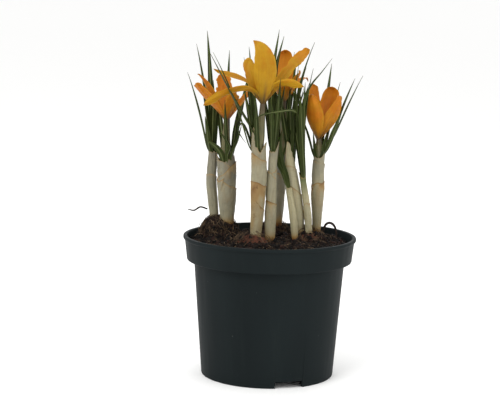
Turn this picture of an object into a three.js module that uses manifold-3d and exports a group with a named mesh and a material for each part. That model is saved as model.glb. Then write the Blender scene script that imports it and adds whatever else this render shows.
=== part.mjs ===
// Potted crocus: four yellow flowers on nine sheathed shoots, which rise from four corms
// set in peat in a round nursery pot. Millimetres, +Z up, origin at the middle of the pot's foot.
import * as THREE from "three";
import { mergeVertices } from "three/addons/utils/BufferGeometryUtils.js";
import Module from "manifold-3d";

const wasm = await Module();
wasm.setup();

const CLEAR = 0.3; // gap kept between neighbouring pieces

// ---------- pot ----------
const POT = {
  height: 73,
  rimRadius: 45, // outside of the rolled lip
  lipHeight: 1.6,
  collarTop: 44.2, // outside radius of the collar under the lip
  collarFoot: 42.9,
  collarHeight: 12.8,
  bodyTop: 39.2, // outside radius under the collar's ledge
  footRadius: 34.55,
  wall: 1.2,
  footWall: 1.7,
  floorUnder: 3.6, // height of the raised floor's underside
  floorThickness: 1.2,
  sides: 48,
};
const NOTCH = { width: 15, height: 3.4, count: 3, firstAngle: 19.5 }; // from the front, to +X
const DRAIN = { radius: 3.5, ring: 24, count: 6 };

// ---------- soil ----------
const SOIL = { rimLevel: 68.6, middleLevel: 70.6, rings: 5, sides: 28 };
const HEAPS = [
  // x, y, height, spread
  [-27, 12, 7.5, 9],
  [3, 23, 4.5, 8],
  [24, 10, 3.2, 9],
];

// ---------- corms: centre, radius, half height ----------
const CORMS = {
  left: { at: [-27, 12, 71], radius: 10, half: 9 },
  centre: { at: [-5, -4, 63.7], radius: 11, half: 9.5 },
  back: { at: [2, 22, 68.5], radius: 9, half: 8.5 },
  right: { at: [20, 6, 65], radius: 11, half: 9.5 },
};

// ---------- shoots ----------
// axis: x, y, z and outside radius from foot to mouth; lobe: how far the mouth's lip rises,
// toward which side (degrees from +X), and into how many lobes.
const SHEATH = { wall: 0.65, sides: 9, rings: 5 };
const SHOOTS = {
  left_thin: {
    axis: [[-29.6, 14, 77, 2.4], [-30.7, 14, 89, 2.8], [-31.4, 14, 98.5, 2.9], [-31, 14, 108, 2.6],
      [-30.8, 14, 113, 2.5]],
    lobe: [2, 60, 1],
  },
  left_wide: {
    axis: [[-22.8, 10, 77, 4], [-22.9, 10, 90, 4.7], [-22.9, 10, 99, 5], [-23.3, 10, 104, 4.8],
      [-23.7, 10, 108, 4.5]],
    lobe: [8, 0, 2],
  },
  centre_left: {
    axis: [[-7, -5, 72, 3.6], [-6.6, -5, 84, 4], [-6.5, -5, 97, 4.2], [-6.5, -5, 106, 4],
      [-6.4, -5, 114, 3.7]],
    lobe: [14, 180, 2],
  },
  centre: {
    axis: [[0.3, -3, 72, 3.1], [0.4, -3, 84, 3.2], [0.9, -3, 97, 2.9], [1.3, -3, 106, 2.5],
      [1.6, -3, 113, 2.3]],
    lobe: [8, 0, 1],
  },
  centre_back: {
    axis: [[4, 20, 76, 2.6], [4.6, 20, 88, 2.8], [5.2, 20, 98, 3], [5.6, 20, 106, 2.9],
      [6, 20, 113, 2.8]],
    lobe: [5, 90, 1],
  },
  right_front: {
    axis: [[9.9, 2.6, 72, 1.3], [9.5, 2.6, 78, 1.4], [9, 2.6, 84, 1.4], [8.4, 2.6, 91, 1.4],
      [7.8, 2.7, 98, 1.3]],
    lobe: [2.5, 180, 1],
  },
  right_tall: {
    axis: [[13.8, 6.5, 72, 3.8], [13.1, 6.5, 82, 3.8], [11.8, 6.5, 93, 3.5], [10.3, 6.5, 104, 2.9],
      [8.7, 6.5, 114, 2.3]],
    lobe: [8, 320, 1],
  },
  right_thin: {
    axis: [[20.4, 4, 72, 1.8], [19.8, 4, 81, 1.9], [18.7, 4, 90, 1.8], [17.6, 4, 97, 1.7],
      [16.5, 4, 103, 1.6]],
    lobe: [4, 180, 1],
  },
  right: {
    axis: [[24.9, 12, 74, 2.4], [24.9, 12, 84, 2.9], [24.9, 12, 95, 3.7], [24.9, 12, 105, 3.3],
      [25.1, 12, 113, 3.3]],
    lobe: [7.5, 0, 1],
  },
};

// ---------- leaves ----------
// tip x, y, z; bow (0 straight, 1 leaves the sheath upright); width; then any points passed on the way.
const LEAF = { depth: 8, thick: 0.7, rings: 7, taper: 0.35 };
const LEAVES = {
  left_thin: [[-44.4, 6, 156.5, 0.35, 1.9], [-41, 26, 170.5, 0.5, 2.4], [-35.5, 28, 177.5, 0.5, 2.6],
    [-36, 32, 150, 0.5, 2.4], [-35, 6, 134, 0.3, 2.4], [-33, 22, 144, 0.5, 2.6]],
  left_wide: [[-23.5, 28, 167.5, 0.6, 2.2], [-12, 32, 158, 0.3, 2.2], [-19.5, 0, 140, 0.5, 1.8],
    [-30, 24, 148, 0.5, 2.6], [-33.5, 6, 121, 0, 1.5, [-25.5, 6, 112], [-28.5, 5, 117.5]],
    [-18, 18, 138, 0.4, 2.4], [-15.5, 3, 131, 0, 1.3, [-20.5, 5, 114], [-17.5, 4, 122]]],
  centre_left: [[-34, -29, 169, 0.5, 2.6], [-31, -3, 167.5, 0.5, 1.4], [-13, 16, 170, 0.3, 1.9],
    [-15.5, 13, 164.5, 0.4, 1.9], [-9, -16, 148, 0.5, 2.3],
    [-23.7, 1, 121, 0, 1.4, [-10.2, -3, 117], [-12.7, -1, 126], [-16, 0, 131], [-20.5, 1, 125.5]],
    [-13, 8, 146, 0.5, 2.4]],
  centre: [[2.7, 13, 179.3, 0.8, 2.4], [5.2, 16, 175.9, 0.8, 2.2], [-6, 14, 150, 0.5, 2.5],
    [-1, -12, 146, 0.4, 2.5], [9, -5, 147, 0.5, 2.5], [0, 8, 150, 0.6, 2.6]],
  centre_back: [[11, 33, 167, 0.5, 2.4], [12.5, 36, 165.5, 0.5, 2.3], [-3, 34, 158, 0.5, 2.5],
    [16, 32, 150, 0.5, 2.5], [4, 39, 160, 0.5, 2.3], [9, 27, 152, 0.6, 2.7]],
  right_front: [[1.5, 7, 130, 0.3, 2.9], [6.5, 0, 128, 0.3, 2.9],
    [-9.5, -13, 134, 0, 1.3, [13, -5, 118], [13.5, -9, 135.5], [6, -12, 138.5], [-3, -13, 137.5]]],
  right_tall: [[21, 4, 173.5, 0.9, 2.3], [12, -1, 152, 0.5, 2.6], [3, 8, 150, 0.5, 2.5],
    [13, 17, 146, 0.5, 2.5], [17, 10, 160, 0.8, 2.6], [13.5, 9, 153, 0.6, 2.7],
    [19, 11, 152, 0.6, 2.7]],
  right_thin: [[30, 0, 165.5, 0.9, 1.8], [20.5, 3, 160, 0.8, 1.9], [16.5, -3, 148, 0.3, 2.5],
    [13.5, 3, 143.5, 0.3, 2.5], [12.5, 5, 137, 0.3, 2.6], [16, 7, 149, 0.4, 2.6],
    [19.5, -1, 153, 0.7, 2.3]],
  right: [[31, 30, 161.5, 0.3, 2.3], [35.5, 24, 152, 0.2, 2.1], [43, 18, 154.5, 0.3, 1.9],
    [46.5, 8, 156.5, 0.3, 2.2], [14.5, 8, 136, 0.5, 1.5], [36, 2, 138, 0.3, 2.2]],
};

// ---------- flowers ----------
// throat: where the tepals spread; tube: radii of the perianth tube from foot to throat.
// tepals: side they start on (degrees from +X), a point half way, the tip, width, cup radius,
// twist, and how drawn out the tip is; odd ones belong to the outer ring, even ones to the inner.
const TEPAL = {
  thick: 0.35,
  claw: 0.2, // width at the throat as a share of the full width
  outerStart: 2.1,
  innerStart: 1.45,
  flare: 2.2, // radius of the tube at the throat
  rows: 8,
  columns: 5,
  tubeDepth: 9,
};
const FLOWERS = {
  left: {
    shoot: "left_wide",
    throat: [-24, 10, 132.5],
    tube: [1.5, 1.9, 1.7, 1.4],
    tepals: [
      [15, [-16.3, 12.4, 140.8], [-10.5, 15, 147], 8.5, 8, -30, 0.5],
      [80, [-24.3, 16.5, 145.5], [-27, 18, 156], 12.5, 9, 0, -0.3],
      [160, [-32.2, 10.5, 145.8], [-39.3, 9, 155.4], 6.5, 6, 0, 1],
      [218, [-33, 1.8, 143.2], [-39.4, -3, 151.4], 9.5, 7, -35, 0.5],
      [305, [-21, 3.5, 140.5], [-18.8, 2.5, 147], 9.5, 8, 0, 0.6],
    ],
  },
  centre: {
    shoot: "centre_left",
    throat: [-5, -5, 142.5],
    tube: [1.5, 1.7, 1.55, 1.4],
    tepals: [
      [284, [-3.6, -13.8, 158.5], [-10.3, -12, 174], 13.2, 9, 0, 0.8],
      [234, [-10.8, -7.9, 154.5], [-12.2, -8.8, 165.5], 12.5, 9, 0, -0.9],
      [210, [-17.2, -13.5, 149.8], [-34.9, -14, 141.5], 9, 8, -90, 0.9],
      [150, [-18.5, 3, 155], [-30.6, 4, 158.8], 7, 6, 0, 0.9],
      [58, [4, 0.9, 155], [17.8, 1.5, 169.8], 9.5, 8, -20, 0.6],
      [348, [4.2, -5.6, 149.6], [15.8, -7.5, 151.2], 7.8, 8, 80, 0.9],
    ],
  },
  back: {
    shoot: "centre_back",
    throat: [5.8, 18, 142.5],
    tube: [0.9, 1.3, 1.3, 1.3],
    tepals: [
      [40, [12.5, 23, 150.3], [18.5, 27, 151.8], 8, 7, 0, 0.8],
      [95, [5.8, 25, 156.5], [5.6, 24, 168.5], 9.5, 7, 0, 0.1],
      [155, [-0.5, 24, 151], [-4, 27, 158], 8, 7, 0, 0.5],
      [215, [1, 14, 150.2], [-2.5, 13, 157], 8, 7, 0, 0.5],
      [280, [6.8, 12, 147.3], [8, 7, 151], 8, 7, 0, 0.5],
      [340, [11.5, 14.5, 151], [13, 12, 158], 8, 7, 0, 0.6],
    ],
  },
  right: {
    shoot: "right",
    throat: [24.6, 12, 123.2],
    tube: [1.1, 1.3, 1.3, 1.3],
    tepals: [
      [235, [20.8, 5.6, 135.5], [19.8, 6.5, 146.5], 13, 8.5, 0, 0.8],
      [297, [31, 5.8, 133.5], [34.3, 8, 142], 8.5, 7, 0, 0.5],
      [356, [34, 13, 137], [35, 15, 145], 6.2, 8.5, 0, 0.5],
      [64, [29.4, 18.9, 137.7], [31.6, 19, 149.5], 11.5, 8, 0, 0.2],
      [125, [21.8, 20, 137.6], [21, 21.5, 150], 7, 8, 0, 0.8],
      [180, [17.8, 12.5, 136], [18.2, 13, 143], 7.5, 7, 0, 0.5],
    ],
  },
};

// ---------- dry root strands ----------
const ROOTS = {
  left: { radius: 0.4, points: [[-33.4, 13, 84.3], [-36.8, 9, 85.8], [-39.9, 6, 84.4], [-43, 5, 85]] },
  right: {
    radius: 0.5,
    points: [[27.8, 18, 71], [29.8, 18, 76.8], [32.5, 18, 77.7], [34.7, 18, 74.8], [35.6, 18, 68]],
  },
};

// ================= helpers =================
const vec = (p) => new THREE.Vector3(p[0], p[1], p[2]);
const lerp = THREE.MathUtils.lerp;
const rad = THREE.MathUtils.degToRad;

/** Value of an evenly spaced list at s from 0 to 1, joined by straight lines. */
function sampled(values, s) {
  const x = s * (values.length - 1);
  const i = Math.min(Math.floor(x), values.length - 2);
  return lerp(values[i], values[i + 1], x - i);
}

/** Solid whose skin runs over rings of equal length; the ends are capped unless it is a loop. */
function skin(rings, loop = false) {
  const n = rings[0].length;
  const points = rings.flat();
  const faces = [];
  const last = loop ? rings.length : rings.length - 1;
  for (let i = 0; i < last; i++) {
    const lower = i * n;
    const upper = ((i + 1) % rings.length) * n;
    for (let j = 0; j < n; j++) {
      const k = (j + 1) % n;
      faces.push([lower + j, lower + k, upper + k], [lower + j, upper + k, upper + j]);
    }
  }
  if (!loop) {
    for (const [start, turn] of [[0, true], [(rings.length - 1) * n, false]]) {
      const centre = new THREE.Vector3();
      for (let j = 0; j < n; j++) centre.addScaledVector(points[start + j], 1 / n);
      points.push(centre);
      for (let j = 0; j < n; j++) {
        const a = start + j;
        const b = start + ((j + 1) % n);
        faces.push(turn ? [points.length - 1, b, a] : [points.length - 1, a, b]);
      }
    }
  }
  let volume = 0;
  for (const [a, b, c] of faces)
    volume += points[a].dot(new THREE.Vector3().crossVectors(points[b], points[c]));
  const triVerts = new Uint32Array(
    faces.flatMap(([a, b, c]) => (volume < 0 ? [a, c, b] : [a, b, c])),
  );
  const vertProperties = new Float32Array(points.flatMap((p) => [p.x, p.y, p.z]));
  return new wasm.Manifold(new wasm.Mesh({ numProp: 3, vertProperties, triVerts }));
}

/** Solid of a closed three.js geometry. */
function solidOf(geometry) {
  geometry.deleteAttribute("normal");
  geometry.deleteAttribute("uv");
  const merged = mergeVertices(geometry, 1e-4);
  const index = merged.index.array;
  const faces = [];
  for (let i = 0; i < index.length; i += 3) {
    const [a, b, c] = [index[i], index[i + 1], index[i + 2]];
    if (a !== b && b !== c && c !== a) faces.push(a, b, c);
  }
  return new wasm.Manifold(
    new wasm.Mesh({
      numProp: 3,
      vertProperties: merged.attributes.position.array,
      triVerts: new Uint32Array(faces),
    }),
  );
}

/** Solid turned about +Z from a profile of [radius, height] points, listed from the foot up. */
function turned(profile, sides) {
  const lathe = new THREE.LatheGeometry(profile.map(([r, z]) => new THREE.Vector2(r, z)), sides);
  return solidOf(lathe.rotateX(Math.PI / 2));
}

/** Stations along a curve with a normal carried along it without twisting. */
function stations(curve, count, startNormal) {
  const normal = startNormal.clone();
  return Array.from({ length: count }, (_, i) => {
    const s = i / (count - 1);
    const tangent = curve.getTangent(s);
    normal.addScaledVector(tangent, -normal.dot(tangent)).normalize();
    const across = new THREE.Vector3().crossVectors(tangent, normal);
    return { s, at: curve.getPoint(s), tangent, normal: normal.clone(), across };
  });
}

const offset = (f, x, y, up = 0) =>
  f.at.clone().addScaledVector(f.normal, x).addScaledVector(f.across, y).addScaledVector(f.tangent, up);

/** Round ring at a station; lift moves each point along the axis. */
const ring = (f, radius, sides, lift = () => 0) =>
  Array.from({ length: sides }, (_, j) => {
    const a = (2 * Math.PI * j) / sides;
    return offset(f, radius * Math.cos(a), radius * Math.sin(a), lift(a));
  });

const rod = (curve, radii, sides, count, normal = new THREE.Vector3(1, 0, 0)) =>
  skin(stations(curve, count, normal).map((f) => ring(f, sampled(radii, f.s), sides)));

const largest = (solid) =>
  solid.decompose().reduce((best, piece) => (piece.volume() > best.volume() ? piece : best));

// ================= pieces =================
const axisOf = (shoot) => new THREE.CatmullRomCurve3(shoot.axis.map(vec));
const radiusOf = (shoot, s) => sampled(shoot.axis.map((p) => p[3]), s);

/** Hollow papery sheath round a shoot, its mouth drawn up into one or two lobes. */
function sheathSolid(shoot, grow = 0) {
  const [rise, side, lobes] = shoot.lobe;
  const list = stations(axisOf(shoot), SHEATH.rings, new THREE.Vector3(1, 0, 0));
  const lift = (f) => {
    const share = Math.max(0, (f.s - 0.7) / 0.3);
    return (a) => {
      const t = a - rad(side);
      return rise * share * (0.5 + 0.5 * Math.cos(lobes * t)) * (0.75 + 0.25 * Math.cos(t));
    };
  };
  const outer = list.map((f) => ring(f, radiusOf(shoot, f.s) + grow, SHEATH.sides, lift(f)));
  if (grow) return skin(outer);
  const inner = list.map((f) =>
    ring(f, radiusOf(shoot, f.s) - SHEATH.wall, SHEATH.sides, lift(f)),
  );
  return skin([...outer, ...inner.reverse()], true);
}

/** Path of one leaf: it starts inside the sheath and bows out to its tip. */
function leafPath(shoot, [x, y, z, bow, , ...via]) {
  const axis = axisOf(shoot);
  const mouth = axis.getPoint(1);
  const up = axis.getTangent(1);
  const foot = mouth.clone().addScaledVector(up, -LEAF.depth);
  const tip = new THREE.Vector3(x, y, z);
  const out = vec(via.length ? via[0] : [x, y, z]).sub(foot);
  out.addScaledVector(up, -out.dot(up)).normalize();
  const room = radiusOf(shoot, 1) - SHEATH.wall - CLEAR - 0.35;
  const start = foot.clone().addScaledVector(out, room);
  if (via.length)
    return [new THREE.CatmullRomCurve3([start, ...via.map(vec), tip], false, "centripetal"), out];
  const reach = start.distanceTo(tip);
  const straight = start.clone().add(tip).multiplyScalar(0.5 * (1 - bow));
  const upright = start.clone().addScaledVector(up, reach * 0.5).multiplyScalar(bow);
  return [new THREE.QuadraticBezierCurve3(start, straight.add(upright), tip), out];
}

/** Narrow keeled blade that tapers to a point. */
function leafSolid(shoot, leaf, grow = 0) {
  const [curve, out] = leafPath(shoot, leaf);
  const count = LEAF.rings + (leaf.length > 5 ? 6 : 0);
  return skin(
    stations(curve, count, out).map((f) => {
      const share = Math.max(0.1, Math.min(1, (1 - f.s) / LEAF.taper) ** 0.75);
      const half = (leaf[4] / 2) * share + grow;
      const deep = LEAF.thick * 0.6 * Math.max(0.35, share) + grow;
      const high = LEAF.thick * 0.4 * Math.max(0.35, share) + grow;
      return [offset(f, 0, half), offset(f, -high, 0), offset(f, 0, -half), offset(f, deep, 0)];
    }),
  );
}

/** Tube that carries a flower from inside its sheath to the throat, where it flares. */
function tubeSolid(flower, grow = 0) {
  const axis = axisOf(SHOOTS[flower.shoot]);
  const length = axis.getLength();
  const foot = axis.getPointAt(1 - TEPAL.tubeDepth / length);
  const mouth = axis.getPoint(1);
  const throat = vec(flower.throat);
  const curve = new THREE.CatmullRomCurve3([foot, mouth, mouth.clone().lerp(throat, 0.5), throat]);
  const radii = [flower.tube[0], flower.tube[0], flower.tube[1], flower.tube[2], flower.tube[3],
    TEPAL.flare];
  return rod(curve, radii.map((r) => r + grow), 8, 9);
}

/** Leaves of one shoot joined on the stalk that fills its sheath. */
function tuftSolid(name, flowerTube) {
  const shoot = SHOOTS[name];
  const axis = axisOf(shoot);
  const stop = 0.95;
  const stalk = skin(
    stations(axis, SHEATH.rings, new THREE.Vector3(1, 0, 0)).map((f) => {
      f.at = axis.getPoint(f.s * stop);
      return ring(f, radiusOf(shoot, f.s * stop) - SHEATH.wall - CLEAR - 0.1, 8);
    }),
  );
  const joined = wasm.Manifold.union([stalk, ...LEAVES[name].map((leaf) => leafSolid(shoot, leaf))]);
  return flowerTube ? joined.subtract(flowerTube) : joined;
}

/** Width of a tepal from its claw to its tip: rounded for point 0, drawn out for point 1. */
function tepalWidth(s, point) {
  const rise =
    TEPAL.claw + (1 - TEPAL.claw) * Math.sin((Math.PI / 2) * Math.min(1, s / 0.62)) ** 1.3;
  const along = Math.max(0, (s - 0.5) / 0.5);
  return rise * Math.max((1 - along ** (2.4 - 0.7 * point)) ** (0.62 + 0.3 * point), 0.07);
}

/** Thin cupped tepal that leaves the throat upright, passes its half-way point and ends at its tip. */
function tepalSolid(flower, [side, half, end, width, cup, twist, point], outer) {
  const outward = new THREE.Vector3(Math.cos(rad(side)), Math.sin(rad(side)), 0);
  const foot = vec(flower.throat)
    .addScaledVector(outward, outer ? TEPAL.outerStart : TEPAL.innerStart)
    .add(new THREE.Vector3(0, 0, CLEAR));
  const middle = vec(half);
  const tip = vec(end);
  const reach = foot.distanceTo(middle) + middle.distanceTo(tip);
  const first = foot.clone()
    .addScaledVector(outward, 0.077 * reach)
    .add(new THREE.Vector3(0, 0, 0.176 * reach));
  const second = middle.clone().multiplyScalar(8).sub(foot).addScaledVector(first, -3).sub(tip)
    .multiplyScalar(1 / 3);
  const curve = new THREE.CubicBezierCurve3(foot, first, second, tip);
  const list = stations(curve, TEPAL.rows, outward.clone().negate());
  return skin(
    list.map((f) => {
      const turn = rad(twist) * f.s ** 1.5;
      const n = f.normal.clone().multiplyScalar(Math.cos(turn))
        .addScaledVector(f.across, -Math.sin(turn));
      const b = new THREE.Vector3().crossVectors(f.tangent, n);
      const row = (level) =>
        Array.from({ length: TEPAL.columns }, (_, j) => {
          const t = (2 * j) / (TEPAL.columns - 1) - 1;
          const a = (t * width * tepalWidth(f.s, point)) / 2 / cup;
          return f.at.clone()
            .addScaledVector(b, (cup - level) * Math.sin(a))
            .addScaledVector(n, cup - (cup - level) * Math.cos(a));
        });
      return [...row(-TEPAL.thick / 2), ...row(TEPAL.thick / 2).reverse()];
    }),
  );
}

/** Style with three lobes and three stamens on one small base. */
function stamenSolid(flower) {
  const base = vec(flower.throat).add(new THREE.Vector3(0, 0, CLEAR));
  const line = (points, radii, sides = 4) =>
    rod(new THREE.CatmullRomCurve3(points.map((p) => vec(p).add(base))), radii, sides, radii.length);
  const pieces = [
    line([[0, 0, 0], [0, 0, 0.4], [0, 0, 0.8]], [1.1, 1.1], 10),
    line([[0, 0, 0.5], [0, 0, 4.5], [0, 0, 9]], [0.35, 0.35]),
  ];
  for (let i = 0; i < 3; i++) {
    const a = rad(30 + 120 * i);
    const c = Math.cos(a);
    const s = Math.sin(a);
    pieces.push(
      line([[0, 0, 8.6], [c * 0.7, s * 0.7, 10], [c * 1.4, s * 1.4, 11.2]], [0.3, 0.5]),
      line([[-c * 0.8, -s * 0.8, 0.5], [-c, -s, 2.5], [-c * 1.2, -s * 1.2, 4.6]], [0.3, 0.25]),
      line([[-c * 1.2, -s * 1.2, 4.2], [-c * 1.4, -s * 1.4, 6.2], [-c * 1.5, -s * 1.5, 8.4]],
        [0.3, 0.6, 0.55, 0.25]),
    );
  }
  return wasm.Manifold.union(pieces);
}

/** Corm: a squashed ball, a little pointed at the top. */
function cormSolid({ at, radius, half }, grow = 0) {
  const profile = Array.from({ length: 9 }, (_, i) => {
    const a = Math.PI * (i / 8) - Math.PI / 2;
    const r = i === 0 || i === 8 ? 0 : (radius + grow) * Math.cos(a);
    return [r, (half + grow) * Math.sin(a)];
  });
  return turned(profile, 14).translate(at);
}

const potInside = (z) => {
  const ledge = POT.height - POT.collarHeight;
  return z < ledge
    ? lerp(POT.footRadius, POT.bodyTop, z / ledge) - POT.wall
    : lerp(POT.collarFoot, POT.collarTop, (z - ledge) / POT.collarHeight) - POT.wall;
};

function potSolid() {
  const top = POT.height;
  const ledge = top - POT.collarHeight;
  const floorTop = POT.floorUnder + POT.floorThickness;
  const profile = [
    [0, POT.floorUnder], [POT.footRadius - POT.footWall, POT.floorUnder],
    [POT.footRadius - POT.footWall, 0], [POT.footRadius, 0],
    [POT.bodyTop, ledge], [POT.collarFoot, ledge],
    [POT.collarTop, top - POT.lipHeight - 0.4], [POT.rimRadius, top - POT.lipHeight],
    [POT.rimRadius, top - 0.5], [POT.rimRadius - 0.5, top],
    [potInside(top) + 0.4, top], [potInside(top), top - 0.5],
    [potInside(ledge + POT.wall), ledge + POT.wall], [POT.bodyTop - POT.wall, ledge + POT.wall],
    [potInside(floorTop), floorTop], [0, floorTop],
  ];
  const cuts = [];
  for (let i = 0; i < NOTCH.count; i++) {
    const box = new THREE.BoxGeometry(NOTCH.width, 8, 2 * NOTCH.height)
      .translate(0, -POT.footRadius + 1, 0)
      .rotateZ(rad(NOTCH.firstAngle + (360 / NOTCH.count) * i));
    cuts.push(solidOf(box));
  }
  for (let i = 0; i < DRAIN.count; i++) {
    const drill = new THREE.CylinderGeometry(DRAIN.radius, DRAIN.radius, 6, 16)
      .rotateX(Math.PI / 2)
      .translate(DRAIN.ring, 0, floorTop)
      .rotateZ(rad(10 + (360 / DRAIN.count) * i));
    cuts.push(solidOf(drill));
  }
  return turned(profile, POT.sides).subtract(wasm.Manifold.union(cuts));
}

/** Height of the peat: level near the rim, a little higher in the middle, heaped over the corms. */
function soilHeight(x, y) {
  const r = Math.hypot(x, y) / 42;
  let z = lerp(SOIL.middleLevel, SOIL.rimLevel, Math.min(1, r * r));
  for (const [hx, hy, high, wide] of HEAPS)
    z += high * Math.exp(-((x - hx) ** 2 + (y - hy) ** 2) / (wide * wide));
  return z + 0.35 * Math.sin(0.9 * x + 0.4) * Math.cos(0.8 * y) * (1 - r ** 4);
}

function soilSolid(buried) {
  const ledge = POT.height - POT.collarHeight;
  const bottom = POT.floorUnder + POT.floorThickness + CLEAR;
  const circle = (r, z) =>
    Array.from({ length: SOIL.sides }, (_, j) => {
      const a = (2 * Math.PI * j) / SOIL.sides;
      const x = r * Math.cos(a);
      const y = r * Math.sin(a);
      return new THREE.Vector3(x, y, z ?? soilHeight(x, y));
    });
  const rings = [
    circle(potInside(bottom) - CLEAR - 0.1, bottom),
    circle(POT.bodyTop - POT.wall - CLEAR - 0.1, ledge - CLEAR),
    circle(POT.bodyTop - POT.wall - CLEAR - 0.1, ledge + POT.wall + CLEAR),
    circle(potInside(ledge + POT.wall) - CLEAR - 0.2, ledge + POT.wall + CLEAR),
  ];
  const edge = potInside(SOIL.rimLevel) - CLEAR - 0.3;
  for (let i = 0; i < SOIL.rings; i++) rings.push(circle((edge * (SOIL.rings - i)) / SOIL.rings));
  return largest(skin(rings).subtract(wasm.Manifold.union(buried)));
}

// ================= assembly =================
const COLOURS = {
  pot: "#262d2e",
  peat: "#33211b",
  corm: "#6f4331",
  sheath: "#c3bda6",
  leaf: "#44592c",
  tepal: "#dfa01f",
  tube: "#b9ad90",
  stamen: "#e07d1c",
  root: "#8d7a58",
};
const plant = new THREE.Group();
plant.name = "potted_crocus";

function add(name, solid, colour, roughness = 0.8) {
  const { vertProperties, triVerts } = largest(solid.simplify(0.06)).getMesh();
  const geometry = new THREE.BufferGeometry();
  geometry.setAttribute("position", new THREE.BufferAttribute(vertProperties, 3));
  geometry.setIndex(new THREE.BufferAttribute(triVerts, 1));
  const flat = geometry.toNonIndexed();
  flat.computeVertexNormals();
  const material = new THREE.MeshStandardMaterial({ color: COLOURS[colour], roughness });
  const mesh = new THREE.Mesh(flat, material);
  mesh.name = name;
  plant.add(mesh);
}

const rootRod = (root, grow = 0) =>
  rod(new THREE.CatmullRomCurve3(root.points.map(vec)), [root.radius + grow, root.radius + grow], 6, 12,
    new THREE.Vector3(0, 1, 0));
const cormsGrown = Object.values(CORMS).map((corm) => cormSolid(corm, CLEAR));

add("pot", potSolid(), "pot", 0.55);
add(
  "soil",
  soilSolid([
    ...cormsGrown,
    ...Object.values(SHOOTS).map((shoot) => sheathSolid(shoot, CLEAR)),
    ...Object.values(ROOTS).map((root) => rootRod(root, CLEAR)),
  ]),
  "peat",
  0.95,
);
for (const [name, corm] of Object.entries(CORMS)) add(`corm_${name}`, cormSolid(corm), "corm");
for (const [name, shoot] of Object.entries(SHOOTS)) {
  const flower = Object.values(FLOWERS).find((f) => f.shoot === name);
  const corms = wasm.Manifold.union(cormsGrown);
  const room = LEAVES[name].map((leaf) => leafSolid(shoot, leaf, CLEAR));
  if (flower) room.push(tubeSolid(flower, CLEAR));
  const sheath = sheathSolid(shoot).subtract(wasm.Manifold.union([corms, ...room]));
  add(`sheath_${name}`, largest(sheath), "sheath");
  const tuft = tuftSolid(name, flower && tubeSolid(flower, CLEAR));
  add(`leaves_${name}`, largest(tuft.subtract(corms)), "leaf", 0.5);
}
for (const [name, flower] of Object.entries(FLOWERS)) {
  add(`tube_${name}`, tubeSolid(flower), "tube");
  flower.tepals.forEach((tepal, i) => {
    add(`tepal_${name}_${i + 1}`, tepalSolid(flower, tepal, i % 2 === 0), "tepal", 0.45);
  });
  add(`stamens_${name}`, stamenSolid(flower), "stamen");
}
for (const [name, root] of Object.entries(ROOTS)) add(`root_${name}`, rootRod(root), "root");

export default plant;
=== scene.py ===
"""Potted crocus: yellow flowers, striped leaves and papery sheaths rising from corms in peat,
in a round nursery pot. Shapes are worked out in millimetres and stored in metres."""

import math

import bpy
import numpy as np
from mathutils import Matrix, Vector


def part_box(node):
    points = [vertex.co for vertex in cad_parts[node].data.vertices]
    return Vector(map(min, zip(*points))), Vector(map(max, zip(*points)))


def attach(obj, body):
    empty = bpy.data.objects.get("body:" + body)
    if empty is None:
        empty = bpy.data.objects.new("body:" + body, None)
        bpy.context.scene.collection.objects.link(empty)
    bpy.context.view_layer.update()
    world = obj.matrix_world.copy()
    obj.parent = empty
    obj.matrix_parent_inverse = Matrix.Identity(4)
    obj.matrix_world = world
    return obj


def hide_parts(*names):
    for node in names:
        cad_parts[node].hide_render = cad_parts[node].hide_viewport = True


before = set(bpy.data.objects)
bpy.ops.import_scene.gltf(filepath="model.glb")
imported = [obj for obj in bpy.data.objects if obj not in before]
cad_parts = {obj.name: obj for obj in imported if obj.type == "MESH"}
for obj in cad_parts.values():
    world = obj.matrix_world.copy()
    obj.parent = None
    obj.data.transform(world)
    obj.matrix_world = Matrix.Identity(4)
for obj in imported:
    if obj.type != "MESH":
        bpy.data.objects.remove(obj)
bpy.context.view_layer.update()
MM = 0.001


def low_high(node):
    """Lowest and highest corner of a frame node, in mm."""
    low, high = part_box(node)
    return np.array(low) / MM, np.array(high) / MM


# ------------------------------------------------------------------ sizes of the plant, in mm
WALL = 0.65  # room kept inside a shoot's radius for its sheath and wraps
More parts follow.
